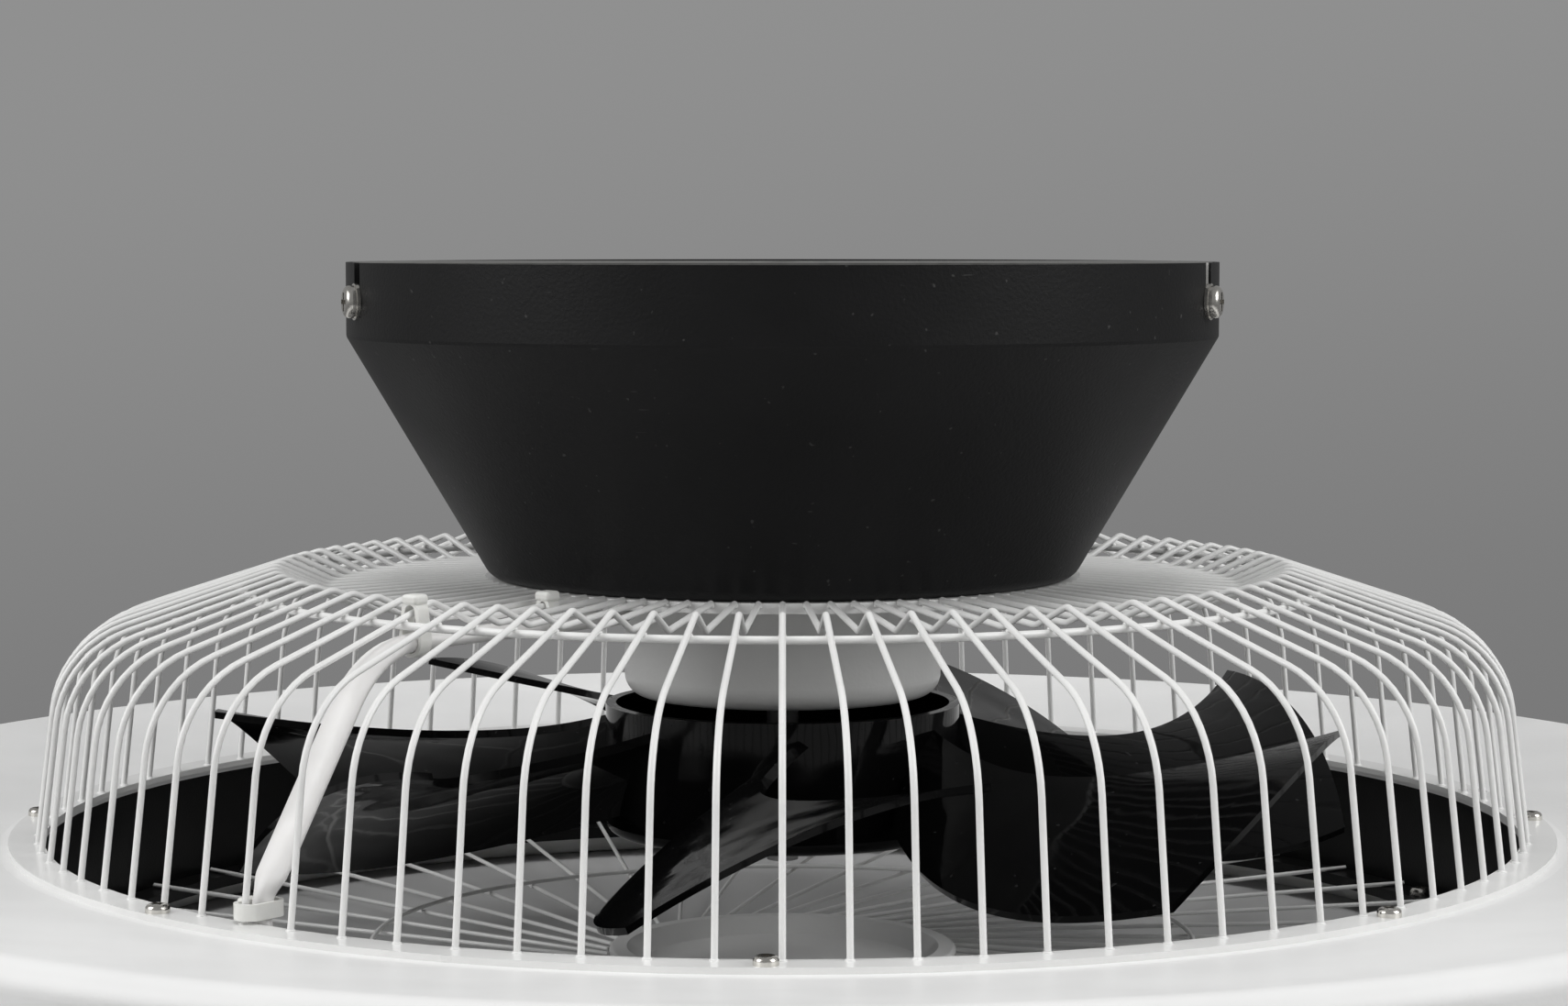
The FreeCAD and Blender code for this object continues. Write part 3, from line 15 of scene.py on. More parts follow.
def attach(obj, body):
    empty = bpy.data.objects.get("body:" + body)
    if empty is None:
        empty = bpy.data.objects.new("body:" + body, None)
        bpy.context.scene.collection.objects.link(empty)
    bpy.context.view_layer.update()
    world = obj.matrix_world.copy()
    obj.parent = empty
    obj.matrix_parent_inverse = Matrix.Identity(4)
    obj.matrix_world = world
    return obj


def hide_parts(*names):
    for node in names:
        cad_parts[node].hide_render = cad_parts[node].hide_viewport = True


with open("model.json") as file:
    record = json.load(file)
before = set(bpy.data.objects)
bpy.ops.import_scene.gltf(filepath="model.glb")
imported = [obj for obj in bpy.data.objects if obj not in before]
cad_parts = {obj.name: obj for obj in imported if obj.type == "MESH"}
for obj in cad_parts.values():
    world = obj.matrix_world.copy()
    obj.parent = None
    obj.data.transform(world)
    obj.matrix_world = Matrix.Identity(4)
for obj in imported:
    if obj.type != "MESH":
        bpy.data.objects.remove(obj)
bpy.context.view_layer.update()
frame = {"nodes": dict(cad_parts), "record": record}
LOG = logging.getLogger("ceiling_fan")
MM = 0.001
IMAGE_WIDTH = 1710
WIRE_COUNT = 84
FRONT_BEARING = -90.0
BEVEL_STEPS = 2
BEVEL_ANGLE = 40

Colour = Tuple[float, float, float]
Span = Tuple[float, float]
Triple = Tuple[float, float, float]
Number = Union[int, float, "Channel"]


class Body(Enum):
    """The two bodies that pieces ride on."""

    FIXED = "fixed"
    ROTOR = "rotor"


class Grain(Enum):
    """Surface relief of a moulded or sprayed skin: bumps per metre and depth in metres."""

    PEEL = (900.0, 0.00004)
    FINE = (1600.0, 0.00003)
    SPARK = (1100.0, 0.00008)
    WRINKLE = (260.0, 0.00012)

    @property
    def scale(self) -> float:
        """Bumps per metre."""
        return self.value[0]

    @property
    def depth(self) -> float:
        """Depth of the relief in metres."""
        return self.value[1]


class Channel:
    """A node's output socket whose arithmetic adds Math nodes to the tree."""

    def __init__(self, book: "NodeBook", socket: bpy.types.NodeSocket) -> None:
        """Wrap a socket of a node tree.

        Args:
            book: The tree that the socket belongs to.
            socket: The output socket.
        """
        self.book = book
        self.socket = socket

    def __add__(self, other: Number) -> "Channel":
        """Return the sum."""
        return self.book.math("ADD", self, other)

    def __radd__(self, other: Number) -> "Channel":
        """Return the sum."""
        return self.book.math("ADD", other, self)

    def __sub__(self, other: Number) -> "Channel":
        """Return the difference."""
        return self.book.math("SUBTRACT", self, other)

    def __rsub__(self, other: Number) -> "Channel":
        """Return the difference the other way round."""
        return self.book.math("SUBTRACT", other, self)

    def __mul__(self, other: Number) -> "Channel":
        """Return the product."""
        return self.book.math("MULTIPLY", self, other)

    def __rmul__(self, other: Number) -> "Channel":
        """Return the product."""
        return self.book.math("MULTIPLY", other, self)

    def __truediv__(self, other: Number) -> "Channel":
        """Return the quotient."""
        return self.book.math("DIVIDE", self, other)

    def __rtruediv__(self, other: Number) -> "Channel":
        """Return the quotient the other way round."""
        return self.book.math("DIVIDE", other, self)

    def __abs__(self) -> "Channel":
        """Return the size without its sign."""
        return self.book.math("ABSOLUTE", self, 0.0)

    def __lt__(self, other: Number) -> "Channel":
        """Return 1 where this is smaller."""
        return self.book.math("LESS_THAN", self, other)

    def __gt__(self, other: Number) -> "Channel":
        """Return 1 where this is larger."""
        return self.book.math("GREATER_THAN", self, other)

    def smooth(self, low: float, high: float) -> "Channel":
        """Return a soft step from 0 at low to 1 at high.

        Args:
            low: Value where the step starts.
            high: Value where the step ends.

        Returns:
            The step as a channel.
        """
        settings = {"interpolation_type": "SMOOTHSTEP"}
        inputs = {"Value": self, "From Min": low, "From Max": high}
        return self.book.node("ShaderNodeMapRange", settings, inputs, "Result")


class NodeBook:
    """A node tree of a material or a world, written from Python expressions."""

    def __init__(self, owner: Union[bpy.types.Material, bpy.types.World]) -> None:
        """Start with an empty tree.

        Args:
            owner: The material or world that the tree belongs to.
        """
        owner.use_nodes = True
        self.tree = owner.node_tree
        self.tree.nodes.clear()

    def feed(self, socket: bpy.types.NodeSocket, value: Any) -> None:
        """Link a channel to a socket, or set a plain value on it.

        Args:
            socket: The input socket.
            value: A channel, number, colour or vector.
        """
        if isinstance(value, Channel):
            self.tree.links.new(value.socket, socket)
        elif socket.type == "RGBA" and len(value) == 3:
            socket.default_value = (*value, 1.0)
        else:
            socket.default_value = value

    def node(self, kind: str, settings: Dict[str, Any], inputs: Dict[Any, Any],
             output: Any = 0) -> Channel:
        """Add a node.

        Args:
            kind: Blender's name of the node's type.
            settings: The node's properties, set before its inputs.
            inputs: Values or channels for its input sockets, by name or number.
            output: Name or number of the output that is wanted.

        Returns:
            That output as a channel.
        """
        made = self.tree.nodes.new(kind)
        for key, value in settings.items():
            setattr(made, key, value)
        for key, value in inputs.items():
            self.feed(made.inputs[key], value)
        return Channel(self, made.outputs[output])

    def math(self, operation: str, left: Number, right: Number) -> Channel:
        """Add a Math node.

        Args:
            operation: The node's operation.
            left: First operand.
            right: Second operand.

        Returns:
            The result as a channel.
        """
        return self.node("ShaderNodeMath", {"operation": operation}, {0: left, 1: right})

    def vector(self, operation: str, left: Any, right: Any, output: Any = 0) -> Channel:
        """Add a Vector Math node.

        Args:
            operation: The node's operation.
            left: First vector.
            right: Second vector.
            output: Vector or Value.

        Returns:
            The result as a channel.
        """
        return self.node("ShaderNodeVectorMath", {"operation": operation}, {0: left, 1: right}, output)

    def parts(self, point: Channel) -> List[Channel]:
        """Return the three numbers of a vector."""
        return [self.node("ShaderNodeSeparateXYZ", {}, {"Vector": point}, axis) for axis in "XYZ"]

    def place(self) -> Channel:
        """Return the point on the surface in the object's own metres."""
        return self.node("ShaderNodeTexCoord", {}, {}, "Object")

    def noise(self, point: Channel, scale: float, detail: float = 2.0, rough: float = 0.5) -> Channel:
        """Return soft noise.

        Args:
            point: Where it is read.
            scale: Blotches per metre.
            detail: Finer layers.
            rough: Strength of the finer layers.

        Returns:
            Values about 0.5.
        """
        inputs = {"Vector": point, "Scale": scale, "Detail": detail, "Roughness": rough}
        return self.node("ShaderNodeTexNoise", {}, inputs, 0)

    def stretched(self, point: Channel, factors: Sequence[float]) -> Channel:
        """Return the point with each axis scaled."""
        return self.vector("MULTIPLY", point, tuple(factors))

    def mix(self, share: Number, first: Any, second: Any) -> Channel:
        """Mix two colours.

        Args:
            share: 0 for the first colour, 1 for the second.
            first: Colour or channel.
            second: Colour or channel.

        Returns:
            The mixed colour.
        """
        return self.node("ShaderNodeMix", {"data_type": "RGBA"}, {0: share, 6: first, 7: second}, 2)

    def bump(self, height: Channel, depth: float) -> Channel:
        """Return a normal from a height.

        Args:
            height: Relief from 0 to 1.
            depth: Depth in metres at 1.

        Returns:
            The normal as a channel.
        """
        inputs = {"Height": height, "Distance": depth, "Strength": 1.0}
        return self.node("ShaderNodeBump", {}, inputs, "Normal")


class ShaderBook(NodeBook):
    """One material with a Principled surface."""

    def __init__(self, name: str) -> None:
        """Start a material.

        Args:
            name: The material's name.
        """
        self.material = bpy.data.materials.new(name)
        super().__init__(self.material)
        output = self.tree.nodes.new("ShaderNodeOutputMaterial")
        self.shader = self.tree.nodes.new("ShaderNodeBsdfPrincipled")
        self.tree.links.new(self.shader.outputs["BSDF"], output.inputs["Surface"])

    def surface(self, **inputs: Any) -> bpy.types.Material:
        """Set the Principled shader's sockets.

        Args:
            inputs: Values or channels by socket name, with underscores for spaces.

        Returns:
            The finished material.
        """
        for key, value in inputs.items():
            self.feed(self.shader.inputs[key.replace("_", " ")], value)
        return self.material


def shade(colour: Colour, factor: float) -> Colour:
    """Return a colour made lighter or darker."""
    return tuple(min(1.0, part * factor) for part in colour)


@dataclass(frozen=True)
class PowderCoat:
    """Sprayed and baked powder with an orange-peel skin, faint mottling and dust."""

    name: str
    colour: Colour
    roughness: float
    grain: Grain = Grain.PEEL
    mottle: float = 0.08
    dust: float = 0.3
    dust_colour: Colour = (0.35, 0.35, 0.34)
    coat: float = 0.0
    shine: float = 0.5
    coat_roughness: float = 0.12
    cloud_scale: float = 38.0
    cloud_span: Span = (0.3, 0.7)
    cloud_rough: float = 0.12
    speck_scale: float = 520.0
    speck_span: Span = (0.74, 0.8)
    speck_rough: float = 0.2

    def layers(self, book: ShaderBook) -> Dict[str, Any]:
        """Work out the coat's sockets.

        Args:
            book: The material to write in.

        Returns:
            Values and channels by socket.
        """
        point = book.place()
        cloud = book.noise(point, self.cloud_scale, 3.0)
        speck = book.noise(point, self.speck_scale, 1.0).smooth(*self.speck_span) * self.dust
        dark = shade(self.colour, 1 - self.mottle)
        light = shade(self.colour, 1 + self.mottle)
        tone = book.mix(cloud.smooth(*self.cloud_span), dark, light)
        peel = book.noise(point, self.grain.scale)
        return {
            "Base_Color": book.mix(speck, tone, self.dust_colour),
            "Roughness": self.roughness + (cloud - 0.5) * self.cloud_rough + speck * self.speck_rough,
            "Normal": book.bump(peel, self.grain.depth),
            "Coat_Weight": self.coat,
            "Coat_Roughness": self.coat_roughness,
            "Specular_IOR_Level": self.shine,
        }

    def material(self) -> bpy.types.Material:
        """Return the finish as a material."""
        book = ShaderBook(self.name)
        return book.surface(**self.layers(book))


@dataclass(frozen=True)
class CanopyCoat(PowderCoat):
    """Matt powder with a few hairline scratches; the slot edges show bare metal whose near-white colour,
    kept to the right-hand slots' inner half, is a painted highlight of the right light.
    """

    slot_depth: float = 13.5 * MM
    slot_facing: float = 0.45
    slot_rise: float = 0.9
    # radius inside which the slot edges get the painted highlight (inner half of the wall only)
    glint_within: float = 109.4 * MM
    # near-white bare-metal colour, partly real metal and partly a painted highlight of the right light's
    # glint
    metal: Colour = (0.85, 0.84, 0.82)
    metal_share: float = 0.3
    metal_roughness: float = 0.3
    handled_scale: float = 24.0
    handled_span: Span = (0.56, 0.66)
    hairline_stretch: Triple = (190.0, 190.0, 1500.0)
    hairline_span: Span = (0.76, 0.8)
    hairline_share: float = 0.1

    def material(self) -> bpy.types.Material:
        """Return the finish as a material."""
        book = ShaderBook(self.name)
        sockets = self.layers(book)
        point = book.place()
        normal = book.node("ShaderNodeNewGeometry", {}, {}, "True Normal")
        rise = book.parts(normal)[2]
        flat = book.stretched(point, (1.0, 1.0, 0.0))
        outward = book.vector("NORMALIZE", flat, (0.0, 0.0, 0.0))
        facing = abs(book.vector("DOT_PRODUCT", outward, normal, "Value"))
        across, _, height = book.parts(point)
        reach = book.vector("LENGTH", flat, (0.0, 0.0, 0.0), "Value")
        cut = (facing < self.slot_facing) * (abs(rise) < self.slot_rise) * (height > -self.slot_depth)
        # painted highlight: bare-metal colour only on the right-hand slots' inner half, where the right
        # light glints
        painted_glint = cut * (across > 0.0) * (reach < self.glint_within)
        handled = book.noise(point, self.handled_scale, 1.0).smooth(*self.handled_span)
        drawn = book.stretched(point, self.hairline_stretch)
        hairline = book.noise(drawn, 1.0, 1.0).smooth(*self.hairline_span)
        scratch = hairline * handled * self.hairline_share
        tone = book.mix(scratch, sockets["Base_Color"], self.dust_colour)
        sockets["Base_Color"] = book.mix(painted_glint, tone, self.metal)
        sockets["Metallic"] = painted_glint * self.metal_share
        sockets["Roughness"] = sockets["Roughness"] * (1 - painted_glint) + painted_glint * self.metal_roughness
        return book.surface(**sockets)


@dataclass(frozen=True)
class RotorGloss:
    """Polished black moulding with slow waves, haze, hairline scuffs and dust."""

    name: str
    colour: Colour = (0.0025, 0.0025, 0.0026)
    roughness: float = 0.06
    shine: float = 0.12
    wave_scale: float = 46.0
    wave_depth: float = 0.6 * MM
    haze_scale: float = 60.0
    haze_span: Span = (0.45, 0.8)
    haze_rough: float = 0.08
    scuff_stretch: Triple = (60.0, 900.0, 400.0)
    scuff_span: Span = (0.68, 0.8)
    scuff_rough: float = 0.06
    scuff_share: float = 0.01
    speck_scale: float = 620.0
    speck_span: Span = (0.82, 0.86)
    speck_rough: float = 0.2
    speck_share: float = 0.05
    dust_colour: Colour = (0.3, 0.3, 0.3)

    def material(self) -> bpy.types.Material:
        """Return the finish as a material."""
        book = ShaderBook(self.name)
        point = book.place()
        wave = book.noise(point, self.wave_scale, 1.0)
        haze = book.noise(point, self.haze_scale, 4.0, 0.6).smooth(*self.haze_span)
        scuff = book.noise(book.stretched(point, self.scuff_stretch), 1.0).smooth(*self.scuff_span)
        speck = book.noise(point, self.speck_scale, 0.0).smooth(*self.speck_span)
        dusty = speck * self.speck_share + scuff * self.scuff_share
        tone = book.mix(dusty, self.colour, self.dust_colour)
        worn = scuff * self.scuff_rough + speck * self.speck_rough
        rough = self.roughness + haze * self.haze_rough + worn
        return book.surface(Base_Color=tone, Roughness=rough, Normal=book.bump(wave, self.wave_depth),
                            Specular_IOR_Level=self.shine)


@dataclass(frozen=True)
class MouldedPlastic:
    """Moulded plastic with a fine grain and slight tone changes."""

    name: str
    colour: Colour
    roughness: float = 0.45
    grain: Grain = Grain.FINE
    soft: float = 0.0
    shine: float = 0.5
    cloud_scale: float = 55.0
    cloud_span: Span = (0.3, 0.7)
    cloud_tones: Span = (0.93, 1.04)
    cloud_rough: float = 0.15
    soft_reach: Triple = (4.0 * MM, 4.0 * MM, 3.5 * MM)

    def material(self) -> bpy.types.Material:
        """Return the finish as a material."""
        book = ShaderBook(self.name)
        point = book.place()
        cloud = book.noise(point, self.cloud_scale, 3.0)
        skin = book.noise(point, self.grain.scale)
        dark, light = [shade(self.colour, factor) for factor in self.cloud_tones]
        tone = book.mix(cloud.smooth(*self.cloud_span), dark, light)
        rough = self.roughness + (cloud - 0.5) * self.cloud_rough
        return book.surface(Base_Color=tone, Roughness=rough, Normal=book.bump(skin, self.grain.depth),
                            Specular_IOR_Level=self.shine, Subsurface_Weight=self.soft,
                            Subsurface_Radius=self.soft_reach)


@dataclass(frozen=True)
class PlatedSteel:
    """Plated or ground steel with fine tool lines and dull patches."""

    name: str
    colour: Colour
    roughness: float
    lines: Triple = (500.0, 500.0, 2600.0)
    line_depth: float = 0.02 * MM
    line_rough: float = 0.1
    patch_scale: float = 160.0
    patch_span: Span = (0.35, 0.75)
    patch_tone: float = 0.72
    dull_span: Span = (0.4, 0.8)
    dull_rough: float = 0.15

    def material(self) -> bpy.types.Material:
        """Return the finish as a material."""
        book = ShaderBook(self.name)
        point = book.place()
        patch = book.noise(point, self.patch_scale, 3.0)
        line = book.noise(book.stretched(point, self.lines), 1.0)
        tone = book.mix(patch.smooth(*self.patch_span), self.colour, shade(self.colour, self.patch_tone))
        dull = patch.smooth(*self.dull_span) * self.dull_rough
        rough = self.roughness + dull + (line - 0.5) * self.line_rough
        return book.surface(Base_Color=tone, Metallic=1.0, Roughness=rough,
                            Normal=book.bump(line, self.line_depth))


@dataclass(frozen=True)
class StackedSheets:
    """Thin sheets or turns of wire stacked along the axis."""

    name: str
    colour: Colour
    pitch: float
    metallic: float
    roughness: float
    groove_span: Span = (0.05, 0.6)
    groove_tone: float = 0.35
    stain_scale: float = 120.0
    stain_span: Span = (0.55, 0.8)
    stain_tone: float = 0.6
    stain_share: float = 0.5
    stain_rough: float = 0.2

    def material(self) -> bpy.types.Material:
        """Return the finish as a material."""
        book = ShaderBook(self.name)
        point = book.place()
        height = book.parts(point)[2]
        turn = book.math("PINGPONG", height, self.pitch / 2) / (self.pitch / 2)
        cloud = book.noise(point, self.stain_scale, 3.0)
        stain = cloud.smooth(*self.stain_span) * self.stain_share
        tone = book.mix(turn.smooth(*self.groove_span), shade(self.colour, self.groove_tone), self.colour)
        tone = book.mix(stain, tone, shade(self.colour, self.stain_tone))
        rough = self.roughness + (cloud - 0.5) * self.stain_rough
        return book.surface(Base_Color=tone, Metallic=self.metallic, Roughness=rough,
                            Normal=book.bump(turn, self.pitch / 4))


@dataclass(frozen=True)
class SolderResist:
    """Circuit board lacquer over copper tracks."""

    name: str
    colour: Colour
    track: Colour
    pitch: float
    track_span: Span = (0.05, 0.09)
    track_depth: float = 0.05 * MM
    skin_scale: float = 900.0
    skin_rough: float = 0.2
    roughness: float = 0.38

    def material(self) -> bpy.types.Material:
        """Return the finish as a material."""
        book = ShaderBook(self.name)
        point = book.place()
        settings = {"feature": "DISTANCE_TO_EDGE", "distance": "EUCLIDEAN"}
        cell = {"Vector": point, "Scale": 1 / self.pitch}
        edge = book.node("ShaderNodeTexVoronoi", settings, cell)
        track = 1 - edge.smooth(*self.track_span)
        skin = book.noise(point, self.skin_scale)
        tone = book.mix(track, self.colour, self.track)
        rough = self.roughness + (skin - 0.5) * self.skin_rough
        return book.surface(Base_Color=tone, Roughness=rough, Normal=book.bump(track, self.track_depth))


@dataclass(frozen=True)
class GelChip:
    """Phosphor gel, grainy and slightly uneven."""

    name: str
    colour: Colour
    roughness: float = 0.3
    grit_scale: float = 2500.0
    grit_span: Span = (0.35, 0.7)
    grit_tone: float = 1.25
    grit_rough: float = 0.2
    grit_depth: float = 0.03 * MM

    def material(self) -> bpy.types.Material:
        """Return the finish as a material."""
        book = ShaderBook(self.name)
        point = book.place()
        grit = book.noise(point, self.grit_scale)
        tone = book.mix(grit.smooth(*self.grit_span), self.colour, shade(self.colour, self.grit_tone))
        rough = self.roughness + grit * self.grit_rough
        return book.surface(Base_Color=tone, Roughness=rough, Normal=book.bump(grit, self.grit_depth))


Finish = Union[PowderCoat, RotorGloss, MouldedPlastic, PlatedSteel, StackedSheets, SolderResist, GelChip]

FINISHES: Dict[str, Finish] = {
    "canopy_black": CanopyCoat("canopy_matt_black", (0.0062, 0.0062, 0.0065), 0.5, Grain.SPARK,
                               mottle=0.12, dust=0.12, shine=0.23),
    "screw_bright": PlatedSteel("bright_plating", (0.72, 0.7, 0.66), 0.2),
    "bracket_zinc": PlatedSteel("zinc_plating", (0.3, 0.3, 0.29), 0.6, (40.0, 1800.0, 1800.0)),
    "wire_white": PowderCoat("wire_white_gloss", (0.8, 0.8, 0.79), 0.3, mottle=0.03, dust=0.05, coat=0.3),
    "motor_white": PowderCoat("motor_white_satin", (0.7, 0.7, 0.69), 0.38, mottle=0.03, dust=0.06, coat=0.1),
    "lamp_white": PowderCoat("lamp_white_satin", (0.8, 0.8, 0.795), 0.42, mottle=0.02, dust=0.04),
    "duct_black": MouldedPlastic("duct_grained_black", (0.005, 0.005, 0.005), 0.32, shine=0.15),
    "rotor_black": RotorGloss("rotor_polished_black"),
    "diffuser_opal": MouldedPlastic("opal_sheet", (0.86, 0.86, 0.84), 0.4, soft=0.3),
    "steel_bright": PlatedSteel("ground_steel", (0.58, 0.58, 0.58), 0.28),
    "lamination_grey": StackedSheets("stacked_laminations", (0.24, 0.24, 0.25), 0.5 * MM, 0.8, 0.45),
    "winding_copper": StackedSheets("enamelled_windings", (0.55, 0.2, 0.07), 0.6 * MM, 0.85, 0.3),
    "magnet_grey": PlatedSteel("sintered_magnet", (0.16, 0.16, 0.17), 0.5, (900.0, 900.0, 900.0)),
    "board_green": SolderResist("board_lacquer_green", (0.02, 0.12, 0.045), (0.05, 0.24, 0.09), 5 * MM),
    "board_white": SolderResist("board_lacquer_white", (0.8, 0.8, 0.78), (0.66, 0.66, 0.62), 14 * MM),
    "led_yellow": GelChip("phosphor_gel", (0.72, 0.56, 0.13)),
    "component_black": MouldedPlastic("component_cases", (0.025, 0.025, 0.028), 0.35),
    "box_white": MouldedPlastic("box_moulding", (0.76, 0.76, 0.73), 0.5, Grain.SPARK),
    "lead_white": MouldedPlastic("lead_sleeve_skin", (0.8, 0.79, 0.78), 0.42, Grain.WRINKLE, soft=0.1),
    "tie_white": MouldedPlastic("tie_nylon", (0.8, 0.8, 0.77), 0.36, soft=0.15),
}


class Paintbox:
    """Makes each finish once and paints pieces with it."""

    def __init__(self) -> None:
        """Start with nothing made."""
        self.made: Dict[str, bpy.types.Material] = {}

    def finish(self, slot: str) -> bpy.types.Material:
        """Return the material of one of the record's slots."""
        if slot not in self.made:
            self.made[slot] = FINISHES[slot].material()
        return self.made[slot]

    def paint(self, piece: bpy.types.Object, slot: str) -> None:
        """Give a piece one finish.

        Args:
            piece: The object to paint.
            slot: The record's material slot.
        """
        piece.data.materials.clear()
        piece.data.materials.append(self.finish(slot))
        LOG.info("%s painted %s", piece.name, FINISHES[slot].name)

    def paint_nodes(self) -> None:
        """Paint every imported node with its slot's finish."""
        for entry in frame["record"]["subparts"]:
            self.paint(frame["nodes"][entry["node"]], entry["material_slot"])


def turn_about_axis(point: Vector, degrees: float) -> Vector:
    """Return a point turned about the fan's axis."""
    return Matrix.Rotation(math.radians(degrees), 3, "Z") @ point


def add_piece(name: str, mesh: bpy.types.Mesh, body: Body, slot: str,
              paint: Paintbox) -> bpy.types.Object:
    """Put a new mesh in the scene on a body.

    Args:
        name: The piece's name.
        mesh: Its mesh, in the shared frame.
        body: The body that carries it.
        slot: The record's material slot.
        paint: Where finishes come from.

    Returns:
        The new object.
    """
    piece = bpy.data.objects.new(name, mesh)
    bpy.context.scene.collection.objects.link(piece)
    for polygon in mesh.polygons:
        polygon.use_smooth = True
    paint.paint(piece, slot)
    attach(piece, body.value)
    LOG.info("%s made with %d faces", name, len(mesh.polygons))
    return piece


def soften(node: str, width: float) -> None:
    """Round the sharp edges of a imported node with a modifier.

    Args:
        node: The node's name.
        width: Width of the rounding in metres.
    """
    bevel = frame["nodes"][node].modifiers.new("softened", "BEVEL")
    bevel.width = width
    bevel.segments = BEVEL_STEPS
    bevel.limit_method = "ANGLE"
    bevel.angle_limit = math.radians(BEVEL_ANGLE)
    LOG.info("%s softened", node)


@dataclass
class WireCage:
    """Welds of the white wire cage; a bead's sizes are halves along, across and up in millimetres."""

    count: int = WIRE_COUNT
    flange_radius: float = 187.0 * MM
    flange_height: float = -142.0 * MM
    hoop_radius: float = 137.0 * MM
    hoop_height: float = -80.35 * MM
    rim_radius: float = 75.9 * MM
    rim_height: float = -80.3 * MM
    flange_bead: Triple = (1.2, 1.2, 0.5)
    hoop_bead: Triple = (0.85, 0.95, 0.6)
    rim_bead: Triple = (0.6, 0.95, 0.5)

    def beads(self) -> Iterable[Tuple[Vector, Vector, float]]:
        """Yield the middle, half sizes and bearing of each weld bead.

        Returns:
            A place and half sizes in metres, and a bearing in degrees, for each bead.
        """
        kinds = (
            (self.flange_radius, self.flange_height, self.flange_bead),
            (self.hoop_radius, self.hoop_height, self.hoop_bead),
            (self.rim_radius, self.rim_height, self.rim_bead),
        )
        for number in range(self.count):
            angle = FRONT_BEARING + 360 * number / self.count
            for radius, height, half in kinds:
                yield turn_about_axis(Vector((radius, 0, height)), angle), Vector(half) * MM, angle

    def build(self) -> bpy.types.Mesh:
        """Return all weld beads as one mesh."""
        shape = bmesh.new()
        for place, half, angle in self.beads():
            turn = Matrix.Rotation(math.radians(angle), 4, "Z")
            matrix = Matrix.Translation(place) @ turn @ Matrix.Diagonal((*half, 1.0))
            bmesh.ops.create_icosphere(shape, subdivisions=2, radius=1.0, matrix=matrix)
        mesh = bpy.data.meshes.new("cage_welds")
        shape.to_mesh(mesh)
        shape.free()
        return mesh

    def dress(self, paint: Paintbox) -> None:
        """Add the weld beads to the cage."""
        add_piece("cage_welds", self.build(), Body.FIXED, "wire_white", paint)


